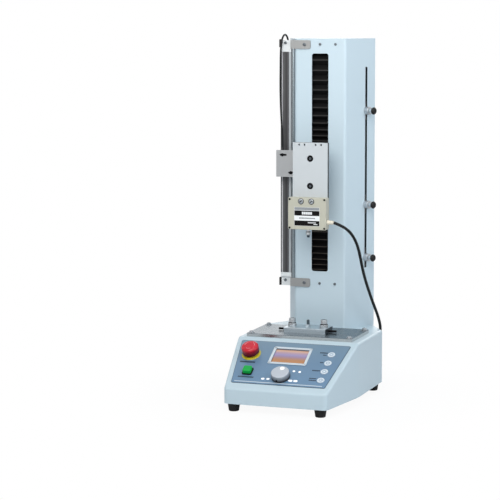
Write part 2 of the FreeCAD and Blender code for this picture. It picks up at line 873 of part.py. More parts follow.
def motor_rotor():
    low = plate_top + motor_height + 1.6 + 0.3
    high = belt_z + belt_width + pulley_flange + 3
    shaft = rod((0, motor_y, low), (0, 0, 1), motor_shaft_radius, high - low)
    return shaft.fuse(pulley(motor_pulley_radius, motor_y, motor_shaft_radius - 0.5)).removeSplitter()


def ball_screw():
    step_low = bearing_low + bearing_length + 0.5
    step_high = bearing_high - 0.5
    low = belt_z - pulley_flange - 2
    j, r = screw_journal_radius, screw_radius
    return turned([(0, low), (j, low), (j, step_low), (r, step_low), (r, step_high), (j, step_high),
                   (j, screw_top - 1), (j - 1, screw_top), (0, screw_top)], 0, screw_y)


def ball_nut():
    low = carriage_z - nut_length / 2
    bore = screw_radius + running_fit
    body = turned([(bore, low), (nut_radius, low),
                   (nut_radius, low + nut_length), (bore, low + nut_length)],
                  0, screw_y)
    flange = turned([(bore, low), (nut_flange_radius, low), (nut_flange_radius, low + nut_flange_thickness),
                     (bore, low + nut_flange_thickness)], 0, screw_y)
    d = nut_flange_half_depth
    flat = box(-nut_flange_radius, nut_flange_radius, screw_y - d, screw_y + d,
               low, low + nut_flange_thickness)
    return body.fuse(flange.common(flat)).removeSplitter()


def bearing_blocks():
    blocks = []
    for low in (bearing_low, bearing_high):
        y0 = screw_y - bearing_reach
        corners = at_z(low, [(-bearing_half_width, spine_front_y), (-bearing_half_width, y0 + 8),
                             (-12, y0), (12, y0), (bearing_half_width, y0 + 8),
                             (bearing_half_width, spine_front_y)])
        block = extruded(corners, [0, 3, 5, 5, 3, 0], (0, 0, bearing_length))
        bore = rod((0, screw_y, low - 1), (0, 0, 1), screw_journal_radius + running_fit, bearing_length + 2)
        recesses = [rod((0, screw_y, z), (0, 0, 1), 10.5, 2) for z in (low, low + bearing_length - 2)]
        blocks.append(block.cut([bore] + recesses))
    return group(blocks)


# Column

def column_plan(shift, rear):
    """Corners of the column in plan, moved in by a distance, open to the rear."""
    plan = at_z(0, [(-column_front_width / 2, column_front_y), (column_front_width / 2, column_front_y),
                    (column_rear_width / 2, rear_y), (-column_rear_width / 2, rear_y)])
    moved = inset(plan, shift)
    stretch = (rear - moved[0].y) / (moved[3].y - moved[0].y)
    return [moved[0], moved[1], moved[1] + (moved[2] - moved[1]) * stretch,
            moved[0] + (moved[3] - moved[0]) * stretch]


def column_cover():
    height = column_top - base_top
    outer = extruded(raised(column_plan(0, rear_y), base_top), [column_fold_radius] * 2 + [0, 0],
                     (0, 0, height))
    soft = column_fold_radius - column_sheet
    inner = extruded(raised(column_plan(column_sheet, rear_y + 5), base_top - 1), [soft, soft, 0, 0],
                     (0, 0, height - column_sheet + 1))
    cover = outer.cut(inner)
    lip_y = rear_y - rear_cover_gap - 2 * column_sheet
    half = column_rear_width / 2
    lips = extruded(raised(column_plan(0, lip_y), base_top), 0, (0, 0, height - 1))
    keep = box(-half, half, lip_y - column_sheet, lip_y, base_top, column_top)
    window = box(-half + 18, half - 18, lip_y - 10, lip_y + 1, base_top - 1, column_top - 12)
    cover = cover.fuse(lips.common(keep).cut(window))
    h = slot_half_width
    slot = extruded(at_y(column_front_y - 1, [(-h, slot_low), (h, slot_low),
                                              (h, slot_high), (-h, slot_high)]),
                    slot_corner_radius, (0, column_sheet + 2, 0))
    w = side_slot_width / 2
    side = on_facet(extruded(at_y(-2, [(-w, side_slot_low), (w, side_slot_low), (w, side_slot_high),
                                       (-w, side_slot_high)]), w - 0.05, (0, column_sheet + 4, 0)))
    out = Vector(-facet_out.x, facet_out.y, 0)
    entry = Vector(*reader_route[-1]) + out * 10 + Vector(0, 0, 3)
    cable_hole = Part.makeCylinder(reader_cable_diameter / 2 + 2.6, 14, entry, out * -1)
    return cover.cut([slot, side, cable_hole]).removeSplitter()


def rear_cover():
    y0 = rear_y - rear_cover_gap - column_sheet - column_sheet
    half = column_plan(column_sheet + rear_cover_gap, y0)[2].x
    return box(-half, half, y0, y0 + column_sheet, base_top, column_top - column_sheet - rear_cover_gap)


def column_spine():
    h, leg = spine_half_width, spine_leg_half_width
    y0 = spine_front_y
    y1 = y0 + spine_thickness
    y2 = y1 + spine_rib_depth
    back = [(h, y1), (h, y2), (h - 8, y2), (h - 8, y1), (8, y1), (8, y2), (-8, y2), (-8, y1),
            (-h + 8, y1), (-h + 8, y2), (-h, y2), (-h, y1)]
    upper = extruded(at_z(base_top + 4, [(-h, y0), (h, y0)] + back), 0, (0, 0, spine_top - base_top - 4))
    lower = box(-leg, leg, y0, y1, plate_top, base_top + 4)
    foot = extruded(at_x(-leg, [(y1, plate_top), (y0 - spine_foot_reach, plate_top),
                                (y0 - spine_foot_reach, plate_top + spine_foot_height),
                                (y0, plate_top + 40),
                                (y1, plate_top + 40)]), 0, (2 * leg, 0, 0))
    pocket = box(-leg + 8, leg - 8, y0 - spine_foot_reach - 1, y0,
                 plate_top + spine_foot_height, plate_top + 41)
    spine = upper.fuse([lower, foot.cut(pocket)]).removeSplitter()
    windows = []
    for i in range(6):
        z = 200 + i * 84
        for x in (-34, 14):
            windows.append(extruded(at_y(y0 - 1, [(x, z), (x + 20, z), (x + 20, z + 50), (x, z + 50)]),
                                    6, (0, spine_thickness + 2, 0)))
    belt_room = screw_pulley_radius + 6
    windows.append(box(-belt_room, belt_room, y0 - 1, y1 + 1, belt_z - 9, belt_z + belt_width + 9))
    return spine.cut(windows)


def rail_profile(x, grow):
    """Half widths of the guide rail with its side grooves, and of the block's bore round it."""
    w, n = rail_width / 2 + grow, rail_waist / 2 + grow
    y = spine_front_y
    heights = [(w, 0), (w, 3), (n, 5.5), (n, 8.5), (w, 11), (w, rail_height + grow)]
    right = [(x + half, y - up) for half, up in heights]
    left = [(x - half, y - up) for half, up in reversed(heights)]
    return right + left


def guide_rails():
    rails = []
    for x in (-rail_x, rail_x):
        rails.append(extruded(at_z(rail_low, rail_profile(x, 0)), 0, (0, 0, rail_high - rail_low)))
    return group(rails)


def slide_blocks():
    blocks = []
    half = slide_block_length / 2
    for x in (-rail_x, rail_x):
        for z in (carriage_z - slide_block_spread, carriage_z + slide_block_spread):
            y1 = spine_front_y - 5
            body = box(x - block_half_width, x + block_half_width, saddle_back_y, y1, z - half, z + half)
            bore = extruded(at_z(z - half - 1, rail_profile(x, rail_clearance)), 0,
                            (0, 0, slide_block_length + 2))
            blocks.append(body.cut(bore))
    return group(blocks)


# Carriage

def carriage_arm():
    w, h = saddle_half_width, saddle_half_height
    saddle = extruded(at_y(saddle_front_y, [(-w, carriage_z - h), (w, carriage_z - h),
                                            (w, carriage_z + h), (-w, carriage_z + h)]),
                      8, (0, saddle_back_y - saddle_front_y, 0))
    a, b = arm_half_width, arm_half_height
    neck = box(-a, a, front_plate_back_y, saddle_front_y, carriage_z - b, carriage_z + b)
    pockets = []
    for side in (-1, 1):
        x0, x1 = sorted((side * (a + 1), side * (a - arm_pocket)))
        pockets.append(box(x0, x1, front_plate_back_y + 50, saddle_front_y - 6,
                           carriage_z - b + 10, carriage_z + b - 10))
    for z in (front_screw_z - front_screw_pitch / 2, front_screw_z + front_screw_pitch / 2):
        pockets.append(rod((0, front_plate_back_y - 1, z), (0, 1, 0), 3.4, 22))
    housing = box(-20, 20, saddle_back_y, spine_front_y - 2,
                  carriage_z - nut_length / 2 + nut_flange_thickness, carriage_z + nut_length / 2)
    dog = box(w - 1, w + 9, saddle_front_y + 10, saddle_back_y, carriage_z - 5, carriage_z + 5)
    finger = box(w + 4, w + 9, saddle_back_y - 1, spine_front_y - 6, carriage_z - 4, carriage_z + 4)
    body = saddle.fuse([neck.cut(pockets), housing, dog, finger]).removeSplitter()
    return body.cut(rod((0, screw_y, carriage_z - h - 1), (0, 0, 1), nut_radius, 2 * h + 2))


def carriage_plate():
    w = front_plate_half_width
    y0, y1 = front_plate_front_y, front_plate_back_y
    plate = extruded(at_y(y0, [(-w, front_plate_low), (w, front_plate_low), (w, front_plate_high),
                               (-w, front_plate_high)]), 1.0, (0, y1 - y0, 0))
    cuts = []
    for x in front_hole_rows:
        for side in (-1, 1):
            cuts.append(rod((side * x, y0 - 1, front_plate_high - front_hole_drop), (0, 1, 0),
                            front_hole_radius, front_plate_thickness + 2))
    for z in (front_screw_z - front_screw_pitch / 2, front_screw_z + front_screw_pitch / 2):
        cuts.append(rod((0, y0 - 1, z), (0, 1, 0), 4.2, front_plate_thickness + 2))
        cuts.append(rod((0, y0 - 1, z), (0, 1, 0), front_screw_radius + 0.35, front_screw_depth + 1))
    return plate.cut(cuts)


def plate_screws():
    screws = []
    y = front_plate_front_y
    for z in (front_screw_z - front_screw_pitch / 2, front_screw_z + front_screw_pitch / 2):
        head = rod((0, y + 0.6, z), (0, 1, 0), front_screw_radius, front_screw_depth - 0.6)
        shank = rod((0, y + front_screw_depth, z), (0, 1, 0), 3.4, 20)
        socket = extruded([Vector(3.45 * math.cos(math.radians(60 * i)), y,
                                  z + 3.45 * math.sin(math.radians(60 * i))) for i in range(6)],
                          0, (0, 5, 0))
        screws.append(head.fuse(shank).cut(socket))
    return group(screws)


# Bellows

def pleat_levels(low, high, count):
    first = (high - low) * (bellows_growth - 1) / (bellows_growth ** count - 1)
    levels = [low]
    for i in range(count):
        levels.append(levels[-1] + first * bellows_growth ** i)
    return levels


def bellows(low, high, count):
    """A pleated strip whose pleats open upwards as it hangs."""
    levels = pleat_levels(low, high, count)
    front = column_front_y + column_sheet + bellows_set_back
    back = front + bellows_depth
    zigzag = []
    for i, z in enumerate(levels[:-1]):
        zigzag.append((front, z))
        zigzag.append((back, (z + levels[i + 1]) / 2))
    zigzag.append((front, levels[-1]))
    rear = [(y + bellows_sheet, z) for y, z in reversed(zigzag)]
    strip = extruded(at_x(-bellows_half_width, zigzag + rear), 0, (2 * bellows_half_width, 0, 0))
    return strip


# Force gauge

def gauge_box():
    half = gauge_width / 2
    y0, y1 = gauge_front_y, gauge_back_y
    body = extruded(at_y(y0, [(-half, gauge_low), (half, gauge_low),
                              (half, gauge_high), (-half, gauge_high)]),
                    gauge_corner_radius, (0, y1 - y0, 0))
    front_edges = [e for e in body.Edges
                   if abs(e.BoundBox.YMin - y0) < 0.01 and abs(e.BoundBox.YMax - y0) < 0.01]
    body = body.makeFillet(1.0, front_edges)
    g = gauge_groove
    seam_y = y0 + gauge_lid_depth
    ring = box(-half - 1, half + 1, seam_y, seam_y + g, gauge_low - 1, gauge_high + 1)
    ring = ring.cut(box(-half + g, half - g, seam_y - 1, seam_y + 1, gauge_low + g, gauge_high - g))
    bore = rod((0, gauge_axis_y, gauge_low - 1), (0, 0, 1), gauge_shaft_radius + 1.0, 11)
    socket = rod((half - 5.5, gauge_middle_y, gland_z), (1, 0, 0), gland_radius - 1.2, 8)
    return body.cut([ring, bore, socket])


def gauge_shaft():
    top = gauge_low + 10
    low = gauge_low - gauge_shaft_length
    z_nut = gauge_low - 11
    shaft = turned([(0, low), (gauge_shaft_radius - 0.8, low), (gauge_shaft_radius, low + 0.8),
                    (gauge_shaft_radius, top), (0, top)], 0, gauge_axis_y)
    nut = hexagon(Vector(0, gauge_axis_y, z_nut), gauge_shaft_nut_flats, 7.0)
    return shaft.fuse(nut).removeSplitter()


def gauge_gland():
    x = gauge_width / 2
    r = gland_radius
    profile = [(0, x - 5.5), (r - 1.2, x - 5.5), (r - 1.2, x), (r, x), (r, x + 3.5), (r - 0.5, x + 4),
               (r - 0.5, x + 10.5), (r - 1.2, x + gland_length), (0, x + gland_length)]
    points = [Vector(place, gauge_middle_y + radius, gland_z) for radius, place in profile]
    face = Part.Face(Part.makePolygon(points + points[:1]))
    gland = face.revolve(Vector(0, gauge_middle_y, gland_z), Vector(1, 0, 0), 360)
    return gland.cut(cable_seat(sensor_route, sensor_cable_diameter))


# Scale and reader

def scale_body():
    x0, x1 = scale_left, scale_right
    y0, y1 = scale_front_y, scale_front_y + scale_depth
    bar = extruded(at_z(scale_low, [(x0, y0), (x1, y0), (x1, y1), (x0, y1)]), [1, 1, 0.5, 0.5],
                   (0, 0, scale_high - scale_low))
    middle = (x0 + x1) / 2
    half = scale_recess_width / 2
    recess = box(middle - half, middle + half, y0 - 1, y0 + scale_recess_depth,
                 scale_low + scale_recess_margin, scale_high - scale_recess_margin - 3)
    lugs = [box(x0 + 1, x1, y0 + 4, y1 - 2, scale_high, bracket_high + bracket_height),
            box(x0 + 1, x1, y0 + 4, y1 - 2, bracket_low, scale_low)]
    holes = [rod((middle - 2, y0, scale_high + 7), (0, 1, 0), 2.2, scale_depth),
             rod((middle - 2, y0, scale_low - 8), (0, 1, 0), 2.2, scale_depth)]
    return bar.cut(recess).fuse(lugs).removeSplitter().cut(holes)


def scale_brackets():
    brackets = []
    s = bracket_sheet
    y1 = column_front_y
    y0 = y1 - s
    inner, outer = bracket_inner_x, scale_right
    for z in (bracket_low, bracket_high):
        flat = extruded(at_y(y0, [(outer, z), (inner, z),
                                  (inner, z + bracket_height), (outer, z + bracket_height)]),
                        [0, 3.5, 3.5, 0], (0, s, 0))
        turn = box(outer, outer + s, y0, y1 + bracket_return, z, z + bracket_height)
        hole = rod((-33.8, y0 - 1, z + bracket_height / 2), (0, 1, 0), 2.2, s + 2)
        brackets.append(flat.fuse(turn).removeSplitter().cut(hole))
    return group(brackets)


def scale_rod():
    low = bracket_low + bracket_height
    return rod((rod_x, rod_y, low), (0, 0, 1), rod_radius, bracket_high - low)


def reader_plate():
    y0, y1 = reader_front_y, reader_front_y + reader_sheet
    right = -arm_half_width
    flat = box(reader_left, right, y0, y1, reader_low, reader_high)
    turn = box(right - reader_sheet, right, y0 - 24, y1, reader_low, reader_high)
    slots = []
    for x, z in ((-84.5, 501.5), (-65.0, 463.7)):
        slots.append(extruded(at_y(y0 - 1, [(x, z - 2.2), (x + 16, z - 2.2),
                                            (x + 16, z + 2.2), (x, z + 2.2)]),
                              2.1, (0, reader_sheet + 2, 0)))
    return flat.fuse(turn).removeSplitter().cut(slots)


def reader_head():
    y0 = reader_front_y + reader_sheet
    y1 = scale_front_y - reader_gap
    corners = at_z(reader_head_low, [(reader_head_left, y0), (reader_head_right, y0),
                                     (reader_head_right, y1), (reader_head_left, y1)])
    head = extruded(corners, [0, 0, 2, 2], (0, 0, reader_head_high - reader_head_low))
    return head.cut(cable_seat(reader_route, reader_cable_diameter))


# Travel stops

def stop_block(z):
    out = -stop_gap - stop_collar_length
    collar = rod((0, out, z), (0, 1, 0), stop_collar_radius, stop_collar_length)
    collar = collar.makeFillet(0.8, [e for e in collar.Edges if e.BoundBox.YMax < out + 0.01])
    half = side_slot_width / 2 - 0.2
    inner = column_sheet + stop_gap
    tongue = box(-half, half, -stop_gap, inner, z - 8, z + 8)
    bore = rod((0, out - 1, z), (0, 1, 0), stop_stud_radius + running_fit, stop_collar_length + 30)
    nut = box(-stop_nut_width / 2, stop_nut_width / 2, inner, inner + stop_nut_thickness,
              z - stop_nut_height / 2, z + stop_nut_height / 2)
    switch = box(-5, 5, inner + stop_nut_thickness, inner + stop_nut_thickness + stop_switch_depth,
                 z - 16, z - 5)
    return on_facet(collar.fuse([tongue, nut, switch]).removeSplitter().cut(bore))


def stop_knob(z):
    collar_end = stop_gap + stop_collar_length + 0.3
    neck_end = collar_end + stop_neck_length
    out = neck_end + stop_knob_length
    inner = -column_sheet - stop_gap - stop_nut_thickness - 1
    knob = turned([(0, inner), (stop_stud_radius, inner), (stop_stud_radius, collar_end),
                   (stop_neck_radius, collar_end), (stop_neck_radius, neck_end),
                   (stop_knob_radius, out - stop_knob_rim, 1.4), (stop_knob_face_radius, out, 1.2),
                   (0, out)], 0, 0)
    knob.Placement = Placement(Vector(0, 0, z), Rotation(Vector(1, 0, 0), 90))
    return on_facet(knob)


# Rear connections

def rear_panel():
    y0 = rear_panel_front_y
    half = rear_opening_half_width + 5
    plate = box(-half, half, y0, y0 + rear_panel_thickness, rear_opening_low - 5, rear_opening_high + 5)
    w, h = inlet_width / 2 - 3, inlet_height / 2 - 3
    cuts = [box(inlet_x - w, inlet_x + w, y0 - 1, y0 + 5, inlet_z - h, inlet_z + h),
            rod((socket_x, y0 - 1, socket_z), (0, 1, 0), socket_radius - 2, 5)]
    return plate.cut(cuts)


def power_inlet():
    y1 = rear_panel_front_y + rear_panel_thickness
    w, h = inlet_width / 2, inlet_height / 2
    flange = extruded(at_y(y1, [(inlet_x - w, inlet_z - h), (inlet_x + w, inlet_z - h),
                                (inlet_x + w, inlet_z + h), (inlet_x - w, inlet_z + h)]),
                      2, (0, inlet_flange, 0))
    body = box(inlet_x - w + 3.2, inlet_x + w - 3.2, y1 - inlet_body_depth, y1,
               inlet_z - h + 3.2, inlet_z + h - 3.2)
    well_low, well_high = inlet_z - h + 7, rocker_z - rocker_half_height - 4
    pin_well = extruded(at_y(y1 - 16, [(inlet_x - 8, well_low), (inlet_x + 8, well_low),
                                       (inlet_x + 8, well_high - 4), (inlet_x + 4, well_high),
                                       (inlet_x - 4, well_high), (inlet_x - 8, well_high - 4)]),
                        0, (0, 20, 0))
    rocker_well = box(inlet_x - rocker_half_width - 0.4, inlet_x + rocker_half_width + 0.4,
                      y1 - 10, y1 + 5,
                      rocker_z - rocker_half_height - 1.1, rocker_z + rocker_half_height + 1.1)
    reach = rocker_half_width + rocker_pin_reach + 0.2
    pin_room = rod((inlet_x - reach, y1 + inlet_flange - rocker_pivot_depth, rocker_z), (1, 0, 0),
                   rocker_pin_radius + running_fit, 2 * reach)
    pins = []
    for x, z in ((-5, 5), (5, 5), (0, 9)):
        pins.append(box(inlet_x + x - 1, inlet_x + x + 1, y1 - 17, y1 - 3,
                        well_low + z - 2, well_low + z + 2))
    return flange.fuse(body).cut([pin_well, rocker_well, pin_room]).fuse(pins).removeSplitter()


def power_rocker():
    y = rear_panel_front_y + rear_panel_thickness + inlet_flange
    z, h = rocker_z, rocker_half_height
    profile = [(y - 10, z - 3), (y - 10, z + 3), (y - 3.4, z + h), (y - 1, z + h), (y - 2.2, z),
               (y - 1, z - h), (y - 3.4, z - h)]
    rocker = extruded(at_x(inlet_x - rocker_half_width, profile), 0, (2 * rocker_half_width, 0, 0))
    pivot = Vector(inlet_x, y - rocker_pivot_depth, z)
    rocker.rotate(pivot, Vector(1, 0, 0), rocker_tilt)
    reach = rocker_half_width + rocker_pin_reach
    return rocker.fuse(rod(pivot - Vector(reach, 0, 0), (1, 0, 0), rocker_pin_radius, 2 * reach))


def sensor_socket():
    y1 = rear_panel_front_y + rear_panel_thickness
    flange = rod((socket_x, y1, socket_z), (0, 1, 0), socket_radius, 1.2)
    body = rod((socket_x, y1 - 18, socket_z), (0, 1, 0), socket_radius - 2.2, 18)
    barrel = rod((socket_x, y1, socket_z), (0, 1, 0), socket_barrel_radius, rear_y - y1)
    recess = rod((socket_x, rear_y - 2, socket_z), (0, 1, 0), socket_barrel_radius - 1.2, 4)
    return flange.fuse([body, barrel]).removeSplitter().cut(recess)


def sensor_plug():
    """A right-angle plug whose cable leaves it sideways."""
    y0 = rear_y + plug_gap
    y1 = sensor_route[-1][1]
    turn = math.radians(plug_turn)
    collar = rod((socket_x, y0, socket_z), (0, 1, 0), plug_radius, 8)
    elbow = rod((socket_x, y0 + 8, socket_z), (0, 1, 0), plug_radius - 1, y1 - y0 - 8 + plug_radius - 1)
    arm = rod((socket_x, y1, socket_z), (math.cos(turn), 0, math.sin(turn)), plug_radius - 2, plug_arm)
    plug = collar.fuse([elbow, arm]).removeSplitter()
    return plug.cut(cable_seat(sensor_route[::-1], sensor_cable_diameter))


def power_supply():
    w, d, h = supply_size
    x, y = supply_corner
    body = box(x, x + w, y, y + d, plate_top, plate_top + h)
    step = box(x - 1, x + w - 18, y + d - 14, y + d + 1, plate_top + 14, plate_top + h + 1)
    return body.cut(step)


# Cables

def cable(name, route, diameter):
    """A round cable along straight runs joined by tangent arcs."""
    points = [Vector(*p) for p in route]
    edges = []
    here = points[0]
    tightest = 1e9
    for i in range(1, len(points) - 1):
        before, corner, after = points[i - 1], points[i], points[i + 1]
        turn = math.pi - (before - corner).getAngle(after - corner)
        shorter = min((corner - before).Length, (after - corner).Length)
        radius = bend_share * shorter / math.tan(turn / 2)
        tightest = min(tightest, radius)
        start, middle, end = corner_arc(before, corner, after, radius)
        if (start - here).Length > 1e-6:
            edges.append(Part.LineSegment(here, start).toShape())
        edges.append(Part.Arc(start, middle, end).toShape())
        here = end
    edges.append(Part.LineSegment(here, points[-1]).toShape())
    path = Part.Wire(edges)
    ring = Part.Wire(Part.makeCircle(diameter / 2, points[0], points[1] - points[0]))
    tube = path.makePipeShell([ring], True, True)
    section = math.pi * diameter ** 2 / 4
    share = tube.Volume / (section * path.Length)
    print(f"{name} length {path.Length:.1f}  tightest radius {tightest:.1f}  volume share {share:.4f}")
    return tube


def build():
    os.makedirs("parts", exist_ok=True)
    save("base_housing", base_housing())
    save("base_plate", base_plate())
    save("rubber_feet", rubber_feet())
    save("control_panel", control_panel())
    save("display_module", display_module())
    save("control_board", control_board())
    save("speed_knob", speed_knob())
    save("estop_collar", estop_collar())
    save("estop_plunger", estop_plunger())
    save("estop_head", estop_head())
    save("start_switch", start_switch())
    save("start_button", start_button())
    for i, (x, u) in enumerate(key_places()):
        save(f"key_{i + 1}", key_cap(x, u))
    save("table_plate", table_plate())
    save("table_screws", table_screws())
    save("fixture_block", fixture_block())
    save("fixture_clamps", fixture_clamps())
    save("fixture_pins", fixture_pins())
    save("power_supply", power_supply())
    save("drive_motor", drive_motor())
    save("motor_rotor", motor_rotor())
    save("timing_belt", timing_belt())
    save("ball_screw", ball_screw())
    save("screw_pulley", pulley(screw_pulley_radius, screw_y, screw_journal_radius))
    save("ball_nut", ball_nut())
    save("bearing_blocks", bearing_blocks())
    save("column_spine", column_spine())
    save("guide_rails", guide_rails())
    save("slide_blocks", slide_blocks())
    save("column_cover", column_cover())
    save("rear_cover", rear_cover())
    save("carriage_arm", carriage_arm())
    save("carriage_plate", carriage_plate())
    save("plate_screws", plate_screws())
    arm_top = carriage_z + arm_half_height + bellows_gap
    arm_low = carriage_z - arm_half_height - bellows_gap
    save("bellows_upper", bellows(arm_top, slot_high + 3, bellows_upper_pleats))
    save("bellows_lower", bellows(slot_low - 3, arm_low, bellows_lower_pleats))
    save("gauge_box", gauge_box())
    save("gauge_shaft", gauge_shaft())
    save("gauge_gland", gauge_gland())
    save("scale_body", scale_body())
    save("scale_brackets", scale_brackets())
    save("scale_rod", scale_rod())
    save("reader_plate", reader_plate())
    save("reader_head", reader_head())
    for name, z in stop_heights.items():
        save(f"stop_block_{name}", stop_block(z))
        save(f"stop_knob_{name}", stop_knob(z))
    save("rear_panel", rear_panel())
    save("power_inlet", power_inlet())
    save("power_rocker", power_rocker())
    save("sensor_socket", sensor_socket())
    save("sensor_plug", sensor_plug())
    save("sensor_cable", cable("sensor cable", sensor_route, sensor_cable_diameter))
    save("reader_cable", cable("reader cable", reader_route, reader_cable_diameter))


build()
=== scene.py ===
import math
import bmesh
import bpy
from mathutils import Matrix, Quaternion, Vector


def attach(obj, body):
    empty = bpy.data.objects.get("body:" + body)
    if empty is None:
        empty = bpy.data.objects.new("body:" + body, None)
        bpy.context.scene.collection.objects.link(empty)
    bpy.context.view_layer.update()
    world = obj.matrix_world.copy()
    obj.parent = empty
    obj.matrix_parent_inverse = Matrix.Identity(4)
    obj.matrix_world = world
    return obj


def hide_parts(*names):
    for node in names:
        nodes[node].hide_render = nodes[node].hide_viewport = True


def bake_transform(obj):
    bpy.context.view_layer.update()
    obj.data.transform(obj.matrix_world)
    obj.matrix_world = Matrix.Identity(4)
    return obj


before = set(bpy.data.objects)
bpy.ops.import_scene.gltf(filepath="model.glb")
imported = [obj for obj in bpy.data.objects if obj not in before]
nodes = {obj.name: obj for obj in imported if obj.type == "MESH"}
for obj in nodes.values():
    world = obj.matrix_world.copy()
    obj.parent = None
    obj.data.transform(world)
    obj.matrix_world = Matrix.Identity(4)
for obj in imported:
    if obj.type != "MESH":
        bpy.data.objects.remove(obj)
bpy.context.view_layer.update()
print("force stand loaded, nodes:", len(nodes))

# all sizes in the dictionaries are millimetres
mm = 0.001
# the control slope: its foot, and a climb of 81.5 over 147.5
slope = {"foot": (0, -190, 47), "turn": (math.atan2(81.5, 147.5), 0, 0)}
# the column's right side: its front fold, and the turn that points x out of the sheet and y back along it
side = {"foot": (55.5, 103.5, 0), "turn": (0, 0, math.atan2(-0.4197, 0.9076))}


def place(x, y, z):
    return Vector((x, y, z)) * mm


def onSlope(x, u, w=0.0):
    # a matrix on the control slope, x across, y up the slope, z out of it
    base = Matrix.Translation(place(*slope["foot"])) @ Matrix.Rotation(slope["turn"][0], 4, "X")
    return base @ Matrix.Translation(place(x, u, w))


# node work that the stage and all finishes share


def linear(code):
    # sRGB hex to the linear values that Blender reads
    parts = [int(code[i:i + 2], 16) / 255 for i in (0, 2, 4)]
    return [p / 12.92 if p <= 0.04045 else ((p + 0.055) / 1.055) ** 2.4 for p in parts]


def setInputs(node, inputs):
    # an input takes a number, a colour code, or a node or socket to link from
    for key, value in inputs.items():
        socket = node.inputs[key] if isinstance(key, int) else next(
            s for s in node.inputs if s.name == key and s.enabled)
        if isinstance(value, bpy.types.Node):
            value = next(s for s in value.outputs if s.enabled)
        if isinstance(value, bpy.types.NodeSocket):
            node.id_data.links.new(value, socket)
        else:
            socket.default_value = (*linear(value), 1) if isinstance(value, str) else value


def addNode(tree, kind, inputs=None, stops=None, sharp=False, **settings):
    # one node with its settings and inputs, and a colour ramp's stops
    made = tree.nodes.new("ShaderNode" + kind)
    for key, value in settings.items():
        setattr(made, key, value)
    setInputs(made, inputs or {})
    if stops:
        band = made.color_ramp
        band.interpolation = "CONSTANT" if sharp else "LINEAR"
        for element, (spot, code) in zip(band.elements, (stops[0], stops[-1])):
            element.position, element.color = spot, (*linear(code), 1)
        for spot, code in stops[1:-1]:
            band.elements.new(spot).color = (*linear(code), 1)
    return made


def openFinish(finish):
    tree = finish.node_tree
    return tree, tree.nodes["Principled BSDF"], tree.nodes["Texture Coordinate"].outputs["Object"]


def startFinish(name, colour, roughness=0.5, metallic=0.0, more=None):
    finish = bpy.data.materials.new(name)
    finish.use_nodes = True
    addNode(finish.node_tree, "TexCoord")
    shader = openFinish(finish)[1]
    setInputs(shader, {"Base Color": colour, "Roughness": roughness, "Metallic": metallic, **(more or {})})
    return finish


# stage: pale floor, soft lamps, and the camera where the photograph was taken

cameraSet = {"eye": (1166.0, -3536.3, 772.3), "target": (-106.4, -39.05, 311.05), "lens": 129.82, "roll": -0.128}
lampSet = {
    "key": {"at": (150, -1000, 1250), "size": 1200, "watts": 14, "tint": "fefcf9", "aim": (0, 0, 650)},
    "top": {"at": (150, 200, 2300), "size": 1900, "watts": 2, "tint": "f6faff", "aim": (0, 0, 350)},
    "fill": {"at": (1700, -500, 1300), "size": 1300, "watts": 10.5, "tint": "f2f7ff", "aim": (0, 0, 600)},
    "rear": {"at": (-300, 2600, 1500), "size": 1800, "watts": 14, "tint": "ffffff", "aim": (0, 0, 350)}}
# room light below and overhead, and how far out the floor's shadow fades away
roomSet = {"tint": "eef4f8", "low": 0.40, "high": 0.46, "fade": (200, 420), "floor": "e6e8ea", "floorSize": 14}


